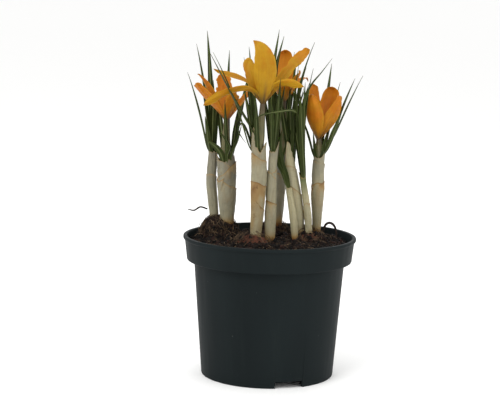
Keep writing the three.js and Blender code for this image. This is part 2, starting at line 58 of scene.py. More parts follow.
# axis: x, y, z and outer radius from foot to mouth. mouth: lift all round, then bumps of side,
# rise and half width in degrees. grey: how grey the skin is at foot and mouth, partly its own grey
# and partly painted shade.
# wraps: share of length, slant, its highest side, how tan it is, and how far down the tan reaches.
# green: how green the skin is at the mouth. stain: how rusty at the foot, if not as FOOT_STAIN.
SHOOTS = {
    "left_thin": dict(
        axis=[(-29.3, 14, 75, 2.1), (-30.6, 14, 89, 2.6), (-31.4, 14, 98.5, 2.7), (-31.1, 14, 108, 2.5),
              (-30.8, 14, 113, 2.35)],
        mouth=(1.8, [(60, 1, 90)]), grey=(0.45, 0.85), wraps=[(0.58, 1.5, 210, 0.2, 3)]),
    "left_wide": dict(
        axis=[(-22.7, 10, 75, 3.1), (-22.9, 10, 89, 4.6), (-23.1, 10, 99, 5.2), (-23.3, 10, 104, 5),
              (-23.7, 10, 108, 4.4)],
        mouth=(-0.6, [(0, 8.2, 90), (180, 6.8, 90), (90, 3, 60)]), grey=(0.4, 0.85),
        wraps=[(0.86, 7, 345, 0.12, 3), (0.74, 8, 205, 0.12, 3), (0.58, 9, 0, 0.6, 4),
               (0.4, 6, 190, 0.4, 4)]),
    "centre_left": dict(
        axis=[(-7.5, -5, 69.5, 2.4), (-6.9, -5, 84, 3.5), (-6.5, -5, 97, 4), (-6.3, -5, 106, 4.1),
              (-6.4, -5, 114, 3.8)],
        mouth=(3.2, [(222, 12.5, 52), (345, 5, 75)]), grey=(0.1, 0.5),
        wraps=[(0.95, 4, 190, 0.5, 6), (0.55, 3, 215, 0.85, 18), (0.3, 6, 200, 0.7, 9)]),
    "centre": dict(
        axis=[(0, -3, 69.5, 2.4), (0.2, -3, 84, 3), (0.3, -3, 97, 2.7), (0.4, -3, 106, 2.4),
              (0.8, -3, 113, 2.2)],
        mouth=(4.4, [(0, 5.4, 80)]), grey=(0.1, 0.65),
        wraps=[(0.78, 1, 60, 0.3, 1.5), (0.36, 1.5, 200, 0.65, 3)]),
    "centre_back": dict(
        axis=[(3.9, 20, 74, 2.2), (4.6, 20, 88, 2.7), (5.2, 20, 98, 2.9), (5.6, 20, 106, 2.9),
              (6, 20, 113, 2.8)],
        mouth=(1, [(90, 4, 80)]), grey=(0.5, 0.9), wraps=[(0.55, 4, 250, 0.3, 3)]),
    "right_front": dict(
        axis=[(13.6, 0.6, 68.5, 1.5), (12.7, 0.8, 78, 1.9), (11.7, 0.9, 85, 1.85), (10.5, 0.9, 92, 1.7),
              (9.4, 0.8, 98, 1.5)],
        mouth=(0, [(180, 3, 80)]), grey=(-0.1, 0), green=0.35, stain=0.95, wraps=[]),
    "right_tall": dict(
        axis=[(14.9, 6.5, 69.5, 2.8), (13.9, 6.5, 82, 3.9), (12.3, 6.5, 93, 3.8), (10.7, 6.5, 102, 3.5),
              (9.3, 6.5, 110, 3)],
        mouth=(-1, [(290, 13, 75)]), grey=(-0.15, 0.15), stain=0.95,
        wraps=[(0.8, 6, 250, 0.15, 3), (0.5, 7, 200, 0.5, 5)]),
    "right_thin": dict(
        axis=[(20.7, 4, 69.5, 1.6), (19.9, 4, 81, 1.85), (18.7, 4, 90, 1.75), (17.6, 4, 97, 1.6),
              (16.6, 4, 103, 1.5)],
        mouth=(0, [(180, 3.5, 90)]), grey=(-0.05, 0), green=1, wraps=[(0.45, 1.5, 300, 0.3, 2)]),
    "right": dict(
        axis=[(24.6, 12, 71.5, 1.7), (24.7, 12, 84, 2.8), (24.8, 12, 95, 3.6), (24.7, 12, 105, 3.2),
              (25.1, 12, 113, 3.2)],
        mouth=(0, [(0, 7, 80), (180, 0.8, 60)]), grey=(0.15, 0.55),
        wraps=[(0.9, 1.5, 170, 0.1, 2), (0.59, 1.5, 330, 0.95, 5)]),
}
LEAF_DEPTH, LEAF_THICK, LEAF_TAPER = 8, 0.7, 0.35
LEAVES = {  # tip x, y, z; bow; width; then points passed on the way
    "left_thin": [(-44.4, 6, 156.5, 0.35, 1.9), (-41, 26, 170.5, 0.5, 2.4), (-35.5, 28, 177.5, 0.5, 2.7),
                  (-36, 32, 150, 0.5, 2.8), (-35, 6, 134, 0.3, 2.6), (-33, 22, 144, 0.5, 2.9),
                  (-31.5, 19, 152, 0.5, 3), (-29, 24, 150, 0.6, 3), (-37.5, 18, 148, 0.6, 2.8)],
    "left_wide": [(-23.5, 28, 167.5, 0.6, 2.3), (-12, 32, 158, 0.3, 2.4), (-24.6, -1, 143, 0.3, 1.9),
                  (-30, 24, 148, 0.5, 2.8), (-33.5, 6, 121, 0, 3.2, (-25.5, 6, 112), (-28.5, 5, 117.5)),
                  (-18, 18, 138, 0.4, 2.6), (-15.5, 3, 131, 0, 1.9, (-20.5, 5, 114), (-17.5, 4, 122)),
                  (-15.5, 22, 146, 0.4, 2.6), (-27.5, 3.5, 127, 0, 2.1, (-23, 5, 113), (-22, 3.5, 119))],
    "centre_left": [(-34, -29, 169, 0, 3.7, (-9.7, -4.6, 115), (-12.2, -7.2, 123), (-18.3, -13.3, 137),
                     (-26, -21, 153)),
                    (-31, -3, 167.5, 0.5, 1.5), (-13, 16, 170, 0.3, 2.1), (-15.5, 13, 164.5, 0.4, 2),
                    (-9, -16, 148, 0.5, 2.4),
                    (-23.7, 1, 121, 0, 2.2, (-10.2, -3, 117), (-12.7, -1, 126), (-16, 0, 131),
                     (-20.5, 1, 125.5)), (-13, 8, 146, 0.5, 2.8), (-15, 2, 149, 0.5, 2.9),
                    (-10.5, 6, 152, 0.5, 2.9), (-11.5, -6, 146, 0.5, 2.6)],
    "centre": [(2.7, 13, 179.3, 0, 2.5, (0.6, 1, 125), (-0.6, 5, 142), (0.2, 10, 161)),
               (5.2, 16, 175.9, 0, 2.3, (2, 2, 125), (0.6, 6, 142), (1.6, 11, 160)), (-6, 14, 150, 0.5, 2.8),
               (-1, -12, 146, 0.4, 2.7), (3.8, -12, 155.5, 0.4, 2), (0, 8, 150, 0.6, 2.9),
               (4, 2, 152, 0.5, 3), (-3, 3, 150, 0.5, 3), (6.5, -2, 154, 0.6, 2.8)],
    "centre_back": [(11, 33, 167, 0.5, 2.5), (12.5, 36, 165.5, 0.5, 2.4), (-3, 34, 158, 0.5, 2.6),
                    (16, 32, 150, 0.5, 2.6), (4, 39, 160, 0.5, 2.4), (9, 27, 152, 0.6, 2.9),
                    (13, 22, 152, 0.6, 3), (1, 22, 152, 0.5, 3), (17, 24, 148, 0.5, 2.8)],
    "right_front": [(0.6, 6, 132, 0, 3, (6, -0.5, 104.5), (3, -1, 111), (1.6, 1, 120)),
                    (5, 0, 128, 0, 3.1, (7.6, 0, 104.5), (5, 0, 112), (4, 0, 120)),
                    (3, 3, 135, 0, 3, (7, -1, 103.5), (4.2, 0, 111.5), (2.8, 2, 122)),
                    (-9.5, -13, 134, 0, 1.5, (6.6, -0.5, 105), (6, 3, 114), (9.5, 8, 126), (13, 3, 135),
                     (10, -6, 138.8), (2.5, -12, 138.4), (-4.5, -13, 137))],
    "right_tall": [(21, 4, 173.5, 0.9, 2.4), (13, -1, 162.5, 0.6, 2.2), (3, 8, 150, 0.5, 2.7),
                   (13, 17, 146, 0.5, 2.7), (17, 10, 160, 0.8, 2.8), (13.5, 9, 153, 0.6, 2.9),
                   (19, 11, 152, 0.6, 2.9), (9, 12, 152, 0.6, 3), (16, 3, 150, 0.7, 3)],
    "right_thin": [(30, 0, 165.5, 0, 1.9, (16.2, 3.5, 122), (16.1, 3, 133.5), (16.5, 2, 141.3),
                    (18.1, 1.5, 148.3), (20.7, 1, 153.1), (24.8, 0, 158.3)),
                   (20.5, 3, 160, 0.8, 2), (14, -3, 148, 0.2, 2.7),
                   (12.5, 3, 143.5, 0.2, 2.8), (10.5, 5, 137, 0.2, 2.8), (10.5, 7, 149, 0.3, 2.8),
                   (16.5, -1, 153, 0.4, 2.5), (11.5, 0, 151, 0.2, 2.8), (13.5, 6, 147, 0.3, 2.8)],
    "right": [(31, 30, 161.5, 0.3, 2.3), (35.5, 24, 152, 0.2, 2.1), (43, 18, 154.5, 0.3, 1.9),
              (46.5, 8, 156.5, 0.3, 2.2), (14.5, 8, 136, 0.5, 1.9), (36, 2, 138, 0.3, 2.6),
              (21.4, 8.2, 126.5, 0, 2.8), (28.4, 8.2, 126, 0, 3)],
}
OUTER_START, INNER_START, SINK, TUBE_DEPTH, THROAT_RADIUS = 1.1, 0.75, 0.9, 9, 1.3
# tepals: side in degrees, half-way point, tip, width, cup radius, twist, how drawn out the tip is,
# share of length where it is widest, how ragged the edge, and if given, how steeply it rises from
# the throat. warm: orange share outside, inside; the inside's share above the outside's is painted
# shade.
FLOWERS = {
    "left": dict(
        shoot="left_wide", throat=(-24, 10, 132.5), tube=(1.8, 2.4, 2.3, 1.8), warm=(0.75, 0.9), tepals=[
            (15, (-16.5, 12.2, 140.6), (-10.9, 14.5, 146.8), 8.5, 8, -30, 0.5, 0.6, 0.5),
            (80, (-24.9, 16, 145.5), (-27.6, 18, 156.2), 11, 9, 0, 0.55, 0.5, 1.0),
            (160, (-32.2, 10.5, 145.8), (-39.3, 9, 155.4), 6.5, 6, 0, 1, 0.5, 0.4),
            (218, (-33, 1.8, 143.2), (-39.4, -3, 151.4), 9, 7, -35, 0.5, 0.6, 0.6),
            (305, (-21, 3.5, 140.5), (-18.8, 2.5, 147), 9.5, 8, 0, 0.6, 0.55, 0.5)]),
    "centre": dict(
        shoot="centre_left", throat=(-5, -5, 142.5), tube=(1.6, 2, 2.1, 1.7), warm=(0, 0.05), tepals=[
            (284, (-3.6, -13.8, 158.5), (-10.3, -12, 174), 13.4, 9, 0, 0.7, 0.55, 0.2),
            (234, (-9.9, -8, 153.6), (-10.6, -8.8, 163.8), 14.4, 9.5, 0, -1.0, 0.5, 1.0),
            (210, (-19.6, -13.5, 148.4), (-34.9, -14, 141.2), 9.6, 8, -90, 0.9, 0.5, 0.5, 4.5),
            (150, (-18, 2, 154.6), (-30.6, 4, 158.7), 3.8, 6, 55, 0.5, 0.75, 0.5, 5),
            (58, (6.6, 1.8, 157.2), (18.2, 3, 169.8), 7, 8, -20, 0.1, 0.72, 1.0),
            (348, (4.2, -7, 151.9), (15.9, -8, 151), 8, 8, 80, 1.0, 0.5, 0.5, 5)]),
    "back": dict(
        shoot="centre_back", throat=(5.8, 18, 142.5), tube=(0.9, 1.3, 1.3, 1.3), warm=(0.5, 0.85), tepals=[
            (40, (12.5, 23, 150.3), (18.5, 27, 151.8), 8, 7, 0, 0.8, 0.5, 0.3),
            (95, (5.8, 25, 156.5), (5.6, 24, 168.2), 10.5, 7, 0, 0, 0.6, 0.3),
            (155, (-0.5, 24, 151), (-4, 27, 158), 8, 7, 0, 0.5, 0.6, 0.3),
            (215, (1, 14, 150.2), (-2.5, 13, 157), 8, 7, 0, 0.5, 0.6, 0.3),
            (280, (6.8, 12, 147.3), (8, 7, 151), 8, 7, 0, 0.5, 0.6, 0.4),
            (340, (11.5, 14.5, 151), (13, 12, 158), 8, 7, 0, 0.6, 0.6, 0.4)]),
    "right": dict(
        shoot="right", throat=(24.6, 12, 123.2), tube=(1.6, 1.9, 2, 1.6), warm=(0.8, 1), tepals=[
            (235, (20.8, 5.6, 135.5), (19.8, 6.5, 146.5), 13, 8.5, 0, 0.8, 0.6, 0.15),
            (297, (31.2, 5.9, 134.8), (34, 8.6, 146.3), 8.6, 7, 0, 0.7, 0.5, 0.15),
            (356, (33, 12.8, 136.5), (34, 14.2, 144.6), 7, 8.5, 0, 0.5, 0.6, 0.1),
            (64, (29.4, 18.9, 137.7), (31.6, 19, 149.5), 11.5, 8, 0, 0.2, 0.6, 0.1),
            (125, (22, 19.5, 140), (22, 21.5, 150), 7, 8, 20, 0.9, 0.6, 0.3),
            (180, (17.8, 12.5, 136), (18.2, 13, 143), 7.5, 7, 0, 0.5, 0.6, 0.2)]),
}
ROOTS = {
    "left": (0.45, [(-33.4, 13, 84.3), (-36.8, 9, 85.8), (-39.9, 6, 84.4), (-43, 5, 85)]),
    "right": (0.7, [(27.8, 18, 71), (29.4, 18, 76), (31.6, 18, 77.5), (34, 18, 76.2), (35.3, 18, 73),
                    (35.8, 18, 68)]),
}
CORMS = {"left": (-27, 12, 71, 10, 9), "centre": (-9, -6.5, 63.8, 11.5, 10.4),
         "back": (2, 22, 68.5, 9, 8.5), "right": (20, 6, 65, 11, 9.5)}
RED = {"left": 0, "centre": 1, "back": 0.2, "right": 0.8}  # how red each corm's skin is
HEAPS = [(-27, 12, 7.5, 9), (3, 23, 4.5, 8), (24, 10, 3.2, 9)]  # x, y, height, spread
PEAT_RADIUS, PEAT_EDGE, PEAT_MIDDLE, PEAT_STEP = 42, 68.6, 70.6, 62  # radius, then three heights
PEAT_SIDE = [(33.3, 5.1), (37.4, 61.7)]  # radius and height, from the floor to the pot's ledge
OPEN_PEAT = 41  # radius within which loose bits lie
CRUMBS, FIBRES = (5600, 1100), (1100, 420)  # how many all over, and how many more on the left heap
GRIT_TONE = 0.991  # crumbs of a higher tone are pale grit
POT_HEIGHT = low_high("pot")[1][2]
RIM = low_high("pot")[1][0]
COLLAR_HEIGHT, COLLAR_FOOT, COLLAR_TOP = 12.8, 42.9, 44.2  # height, then radii
LEDGE = POT_HEIGHT - COLLAR_HEIGHT
BODY_TOP, FOOT, POT_WALL, FOOT_WALL, LIP_HEIGHT = 39.2, 34.55, 1.2, 1.7, 1.6
FLOOR_UNDER, FLOOR_TOP = 3.6, 4.8
NOTCHES, NOTCH_ANGLE, NOTCH_WIDTH, NOTCH_HEIGHT = 3, 19.5, 15, 3.4
DRAINS, DRAIN_RADIUS, DRAIN_RING = 6, 3.5, 24
WRAP_STEP, WRAP_TWIST = 0.28, 1.1  # room for each wrap over a layer; turn of a wrap up the shoot
FOOT_STAIN = 0.55  # how rusty a sheath is at its foot
CLAW_RADIUS = 1.7  # cup radius of every tepal at its claw
BRACT_END = 0.86  # share of a tube's length at which its bract ends
# Parts inside a flower: places out from its axis and up from its throat, then radii along them.
STYLE = [(0, 0), (0, 3.5), (0, 6.6)], [0.4, 0.32, 0.35]
STIGMA_ARM = [(0, 6.3), (0.6, 7.2), (1.1, 8)], [0.3, 0.35, 0.55, 0.45]
FILAMENT = [(-0.6, 0.4), (-0.8, 2), (-1, 3.6)], [0.28, 0.24]
ANTHER = [(-1, 3.3), (-1.2, 5), (-1.3, 6.8)], [0.2, 0.55, 0.6, 0.55, 0.15]

# ------------------------------------------------------------------ stage, in metres and degrees
LAMPS = {"key": ((-0.5, -0.7, 0.95), 0.6, 6), "fill": ((0.8, -0.5, 0.5), 0.8, 2),
         "back": ((0.1, 0.8, 0.8), 0.9, 3)}  # place, size, power
LAMP_AIM = (0, 0, 0.1)
CAMERA_PLACE, CAMERA_TURN, LENS = (0, -0.7715, 0.1992), (-0.79, -7.96, 1.17), 108  # yaw, pitch, roll


# ------------------------------------------------------------------ curves and frames
def unit(a):
    """Vectors of length one along the last axis."""
    a = np.asarray(a, float)
    return a / np.maximum(np.linalg.norm(a, axis=-1, keepdims=True), 1e-12)


def smooth(a, b, x):
    """Smooth step: 0 below a, 1 above b, 3t^2 - 2t^3 between."""
    t = np.clip((np.asarray(x, float) - a) / (b - a), 0, 1)
    return t * t * (3 - 2 * t)


def catmull(points, s):
    """Points at s in 0..1 of a curve through points: on each stretch a cubic that blends the four
    nearest points, with end points mirrored."""
    p = np.asarray(points, float)
    p = np.vstack([2 * p[0] - p[1], p, 2 * p[-1] - p[-2]])
    x = np.clip(s, 0, 1) * (len(p) - 3)
    i = np.minimum(x.astype(int), len(p) - 4)
    t = (x - i)[:, None]
    a, b, c, d = p[i], p[i + 1], p[i + 2], p[i + 3]
    return 0.5 * (2 * b + (c - a) * t + (2 * a - 5 * b + 4 * c - d) * t**2 + (3 * b - a - 3 * c + d) * t**3)


def carried(path, normal):
    """Tangent, normal and across direction at each point of a path, or of many alike; the normal
    is carried along the path without twisting, and across = tangent x normal."""
    tangent = unit(np.gradient(path, axis=-2))
    n = np.broadcast_to(np.asarray(normal, float), path[..., 0, :].shape)
    normals = []
    for station in range(path.shape[-2]):
        t = tangent[..., station, :]
        n = unit(n - t * (n * t).sum(-1, keepdims=True))
        normals.append(n)
    normals = np.stack(normals, -2)
    return tangent, normals, np.cross(tangent, normals)


def around(path, normal, across, radius, angle):
    """Rings round a path: path + radius * (cos(angle) * normal + sin(angle) * across). Radius and
    angle have a row for each station, or one for all, and a column for each point of a ring."""
    turned = np.cos(angle)[..., None] * normal[..., None, :] + np.sin(angle)[..., None] * across[..., None, :]
    return path[..., None, :] + radius[..., None] * turned


def value_noise(x, y, cell, seed):
    """Smooth noise in -1..1: random values on a square lattice of that cell, blended by smooth step."""
    rng = np.random.default_rng(seed)
    n = 64
    lattice = rng.uniform(-1, 1, (n, n))
    gx, gy = np.asarray(x) / cell + 100, np.asarray(y) / cell + 100
    i, j = np.floor(gx).astype(int), np.floor(gy).astype(int)
    a, b = smooth(0, 1, gx - i), smooth(0, 1, gy - j)
    near = lattice[i % n, j % n] * (1 - a) + lattice[(i + 1) % n, j % n] * a
    far = lattice[i % n, (j + 1) % n] * (1 - a) + lattice[(i + 1) % n, (j + 1) % n] * a
    return near * (1 - b) + far * b


# ------------------------------------------------------------------ meshes
def skin(rings, u, v, tone=0.0, shade=0.0, loop=False):
    """Closed skin over a grid of rings (rows, columns, 3): quads join each ring to the next and a
    fan closes each end, or the last ring meets the first if it is a loop.
    u and v are (rows [+1 if loop], columns + 1); tone and shade are one value per point, stored with it."""
    rows, cols = rings.shape[:2]
    i, j = np.meshgrid(np.arange(rows if loop else rows - 1), np.arange(cols), indexing="ij")
    i, j = i.ravel(), j.ravel()
    k, up = (j + 1) % cols, (i + 1) % rows
    corners = np.stack([i * cols + j, i * cols + k, up * cols + k, up * cols + j], -1)
    u, v = (np.broadcast_to(a, (rows + loop, cols + 1)) for a in (u, v))
    uv = np.stack([np.stack([a[i, j], a[i, j + 1], a[i + 1, j + 1], a[i + 1, j]], -1) for a in (u, v)], -1)
    points = rings.reshape(-1, 3)
    tone, shade = (np.broadcast_to(np.asarray(a, float), (rows, cols)).reshape(-1) for a in (tone, shade))
    sizes = np.full(len(corners), 4)
    flat, flat_uv = corners.ravel(), uv.reshape(-1, 2)
    if not loop:
        n = np.arange(cols)
        for row, turn in ((0, True), (rows - 1, False)):
            centre = len(points)
            points = np.vstack([points, rings[row].mean(0)])
            tone = np.append(tone, tone[row * cols:(row + 1) * cols].mean())
            shade = np.append(shade, shade[row * cols:(row + 1) * cols].mean())
            a, b = row * cols + n, row * cols + (n + 1) % cols
            fan = np.stack([np.full(cols, centre), b, a] if turn else [np.full(cols, centre), a, b], -1)
            cu, cv = u[row], v[row]
            mid = np.stack([np.full(cols, cu.mean()), np.full(cols, cv.mean())], -1)
            ua, ub = np.stack([cu[:-1], cv[:-1]], -1), np.stack([cu[1:], cv[1:]], -1)
            fan_uv = np.stack([mid, ub, ua] if turn else [mid, ua, ub], 1)
            flat, flat_uv = np.append(flat, fan.ravel()), np.vstack([flat_uv, fan_uv.reshape(-1, 2)])
            sizes = np.append(sizes, np.full(cols, 3))
    return dict(points=points, corners=flat, uv=flat_uv, sizes=sizes, tone=tone, shade=shade)


def many(rings, u, v, tone):
    """One skin of many grids of the same shape: rings (n, rows, columns, 3), one tone for each. The
    faces of the first grid serve for all, moved on by the number of points of a grid."""
    one = skin(rings[0], u, v)
    ends = np.stack([rings[:, 0].mean(1), rings[:, -1].mean(1)], 1)
    points = np.concatenate([rings.reshape(len(rings), -1, 3), ends], 1)
    corners = one["corners"] + points.shape[1] * np.arange(len(rings))[:, None]
    tone = np.repeat(tone, points.shape[1])
    return dict(points=points.reshape(-1, 3), corners=corners.ravel(), uv=np.tile(one["uv"], (len(rings), 1)),
                sizes=np.tile(one["sizes"], len(rings)), tone=tone, shade=0 * tone)


def outward(s):
    """The skin with its faces turned outwards: the sum of face cone volumes must be positive."""
    starts = np.concatenate([[0], np.cumsum(s["sizes"])[:-1]])
    p = s["points"] - s["points"].mean(0)
    a, b, c = (p[s["corners"][starts + n]] for n in range(3))
    d = p[s["corners"][starts + s["sizes"] - 1]]
    volume = np.einsum("ij,ij->", a, np.cross(b, c)) + np.einsum("ij,ij->", a, np.cross(c, d))
    if volume < 0:
        order = np.repeat(2 * starts + s["sizes"] - 1, s["sizes"]) - np.arange(len(s["corners"]))
        s["corners"], s["uv"] = s["corners"][order], s["uv"][order]
    return s


def joined(skins):
    """Several skins as one."""
    skins = [outward(s) for s in skins]
    shift = np.cumsum([0] + [len(s["points"]) for s in skins[:-1]])
    out = {key: np.concatenate([s[key] for s in skins]) for key in ("points", "uv", "sizes", "tone", "shade")}
    out["corners"] = np.concatenate([s["corners"] + n for s, n in zip(skins, shift)])
    return out


def shape(name, skins, crease=45):
    """Object made of skins given in mm."""
    s = joined(skins)
    mesh = bpy.data.meshes.new(name)
    mesh.vertices.add(len(s["points"]))
    mesh.vertices.foreach_set("co", (s["points"] * MM).ravel())
    mesh.loops.add(len(s["corners"]))
    mesh.loops.foreach_set("vertex_index", s["corners"].astype(np.int32))
    mesh.polygons.add(len(s["sizes"]))
    starts = np.concatenate([[0], np.cumsum(s["sizes"])[:-1]])
    mesh.polygons.foreach_set("loop_start", starts.astype(np.int32))
    mesh.polygons.foreach_set("use_smooth", np.ones(len(s["sizes"]), bool))
    mesh.uv_layers.new(name="UVMap").uv.foreach_set("vector", s["uv"].ravel().astype(np.float32))
    for key in ("tone", "shade"):
        mesh.attributes.new(key, "FLOAT", "POINT").data.foreach_set("value", s[key].astype(np.float32))
    mesh.update(calc_edges=True)
    mesh.validate()
    mesh.set_sharp_from_angle(angle=math.radians(crease))
    obj = bpy.data.objects.new(name, mesh)
    bpy.context.scene.collection.objects.link(obj)
    return obj


def piece(name, skins, material, slot, *nodes, crease=45):
    """Shape with its material; it rides on the root and stands for the named nodes."""
    obj = shape(name, skins, crease)
    obj.data.materials.append(material)
    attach(obj, "root")
    if nodes:
        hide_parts(*nodes)
    return obj


# ------------------------------------------------------------------ materials
def linear(code, alpha=1.0):
    """sRGB hex colour as linear RGBA."""
    c = np.array([int(code[i:i + 2], 16) for i in (1, 3, 5)]) / 255
    c = np.where(c <= 0.04045, c / 12.92, ((c + 0.055) / 1.055) ** 2.4)
    return (*c.tolist(), alpha)


def feed(tree, socket, value):
    """Gives a socket its source: another node's output, a hex colour or a plain value."""
    if isinstance(value, bpy.types.NodeSocket):
        tree.links.new(value, socket)
    else:
        socket.default_value = linear(value) if isinstance(value, str) else value


def add(tree, kind, inputs=None, out=0, **settings):
    """Adds a node and returns one of its outputs. Settings are its properties; inputs and out go by
    name or number."""
    node = tree.nodes.new("ShaderNode" + kind)
    for key, value in settings.items():
        setattr(node, key, value)
    for key, value in (inputs or {}).items():
        feed(tree, node.inputs[key], value)
    return node.outputs[out]


def finish(name, build):
    """Material of that name; build(tree) lays out its pattern and returns what its shader takes."""
    material = bpy.data.materials.new(name)
    material.use_nodes = True
    shader = material.node_tree.nodes["Principled BSDF"]
    for socket, value in build(material.node_tree).items():
        feed(material.node_tree, shader.inputs[socket], value)
    return material


def grain(tree, place, scale, detail=3.0, stretch=(1, 1, 1), distort=0.0):
    """Cloudy pattern from 0 to 1 with that many cells to a unit of the place, after the place is
    multiplied by stretch along each axis. On Object coordinates the unit is a metre."""
    pulled = add(tree, "Mapping", {"Vector": place, "Scale": stretch})
    return add(tree, "TexNoise", {"Vector": pulled, "Scale": scale, "Detail": detail, "Roughness": 0.55,
                                  "Distortion": distort})


def painted(tree, under, over, by, start, end, least=0.0, most=1.0):
    """Colour that goes from under to over as the value by runs from start to end; the share of over
    runs from least to most and is held at both ends."""
    share = add(tree, "MapRange", {0: by, 1: start, 2: end, 3: least, 4: most})
    return add(tree, "Mix", {0: share, 6: under, 7: over}, 2, data_type="RGBA")


def petal(tree):
    """Crocus tepal: thin living tissue, satin, with fine lengthwise veins. Golden yellow to orange
    by its tone, mottled, olive brown at the claw with a dark streak up its middle. Where the inner
    face's tone is higher than the outer face's, the extra orange is painted shade."""
    uv = add(tree, "TexCoord", out="UV")
    place = add(tree, "TexCoord", out="Object")
    tone = add(tree, "Attribute", out="Fac", attribute_name="tone")
    v = add(tree, "SeparateXYZ", {0: uv}, 1)
    u = add(tree, "Math", {0: add(tree, "SeparateXYZ", {0: uv}, 0)}, operation="ABSOLUTE")
    # Veins about 0.5 mm apart across a 10 mm tepal, mottling of 6 mm, patches of 13 mm.
    veins = grain(tree, uv, 1.0, 2.0, (20, 1.4, 1))
    cloud = grain(tree, place, 170, 4.0)
    broad = grain(tree, place, 75, 2.0, distort=0.6)
    gold = painted(tree, "#ad8519", "#997010", cloud, 0.35, 0.7)
    orange = painted(tree, "#bb7119", "#a15f12", cloud, 0.3, 0.7)
    patches = add(tree, "MapRange", {0: broad, 1: 0.42, 2: 0.66, 3: -0.15, 4: 0.5})
    warmth = add(tree, "Math", {0: tone, 1: patches}, operation="ADD")
    tint = add(tree, "Mix", {0: warmth, 6: gold, 7: orange}, 2, data_type="RGBA")
    tint = painted(tree, tint, "#b26c10", cloud, 0.55, 0.72, 0.0, 0.4)
    tint = painted(tree, tint, "#8a5d10", veins, 0.42, 0.75, 0.0, 0.5)
    # Lighter towards both edges: a painted highlight.
    tint = painted(tree, tint, "#b98c24", u, 0.82, 1.0, 0.0, 0.3)
    jagged = add(tree, "MapRange", {0: veins, 1: 0.3, 2: 0.7, 3: -0.09, 4: 0.09})
    height = add(tree, "Math", {0: v, 1: jagged}, operation="ADD")
    tint = painted(tree, tint, "#54432a", height, 0.03, 0.24, 1.0, 0.0)
    narrow = add(tree, "MapRange", {0: u, 1: 0.05, 2: 0.3, 3: 1.0, 4: 0.0})
    fading = add(tree, "MapRange", {0: height, 1: 0.1, 2: 0.42, 3: 0.75, 4: 0.0})
    streak = add(tree, "Math", {0: narrow, 1: fading}, operation="MULTIPLY")
    tint = add(tree, "Mix", {0: streak, 6: tint, 7: "#4b3c2c"}, 2, data_type="RGBA")
    fine = add(tree, "Bump", {"Strength": 0.6, "Distance": 0.15 * MM, "Height": veins})
    relief = add(tree, "Bump", {"Strength": 0.4, "Distance": 0.8 * MM, "Height": cloud, "Normal": fine})
    satin = add(tree, "MapRange", {0: cloud, 1: 0.3, 2: 0.7, 3: 0.42, 4: 0.58})
    return {"Base Color": tint, "Normal": relief, "Roughness": satin, "Specular IOR Level": 0.12,
            "Subsurface Weight": 0.2, "Subsurface Radius": (1.0, 0.55, 0.1), "Subsurface Scale": 1.5 * MM}


def blade(tree):
    """Crocus leaf: smooth waxy blade, dark green, with a silvery stripe down the channel and fine
    parallel veins; pale where it was covered by the sheath. Its tone is 1 on the channelled side."""
    uv = add(tree, "TexCoord", out="UV")
    place = add(tree, "TexCoord", out="Object")
    side = add(tree, "Attribute", out="Fac", attribute_name="tone")
    v = add(tree, "SeparateXYZ", {0: uv}, 1)
    u = add(tree, "Math", {0: add(tree, "SeparateXYZ", {0: uv}, 0)}, operation="ABSOLUTE")
    # Veins about 0.3 mm apart across a 2.5 mm blade, patches of 11 mm.
    cloud = grain(tree, place, 90, 3.0)
    veins = grain(tree, uv, 1.0, 2.0, (9, 1.2, 1))
    green = painted(tree, "#252c12", "#39421c", cloud, 0.35, 0.7)
    green = painted(tree, green, "#1f2615", veins, 0.4, 0.75, 0.0, 0.5)
    channel = add(tree, "MapRange", {0: u, 1: 0.06, 2: 0.24, 3: 1.0, 4: 0.0})
    facing = add(tree, "MapRange", {0: side, 1: 0.0, 2: 1.0, 3: 0.35, 4: 0.9})
    to_tip = add(tree, "MapRange", {0: v, 1: 0.75, 2: 1.0, 3: 1.0, 4: 0.0})
    stripe = add(tree, "Math", {0: channel, 1: facing}, operation="MULTIPLY")
    stripe = add(tree, "Math", {0: stripe, 1: to_tip}, operation="MULTIPLY")
    tint = add(tree, "Mix", {0: stripe, 6: green, 7: "#7c8457"}, 2, data_type="RGBA")
    tint = painted(tree, tint, "#4e582b", u, 0.8, 1.0, 0.0, 0.3)
    tint = painted(tree, tint, "#6f7345", v, 0.02, 0.22, 0.6, 0.0)
    tint = painted(tree, tint, "#4a4020", v, 0.9, 1.0, 0.0, 0.5)
    relief = add(tree, "Bump", {"Strength": 0.4, "Distance": 0.1 * MM, "Height": veins})
    return {"Base Color": tint, "Normal": relief, "Roughness": 0.5, "Specular IOR Level": 0.08,
            "Subsurface Weight": 0.06, "Subsurface Radius": (0.4, 1.0, 0.2), "Subsurface Scale": 0.8 * MM}


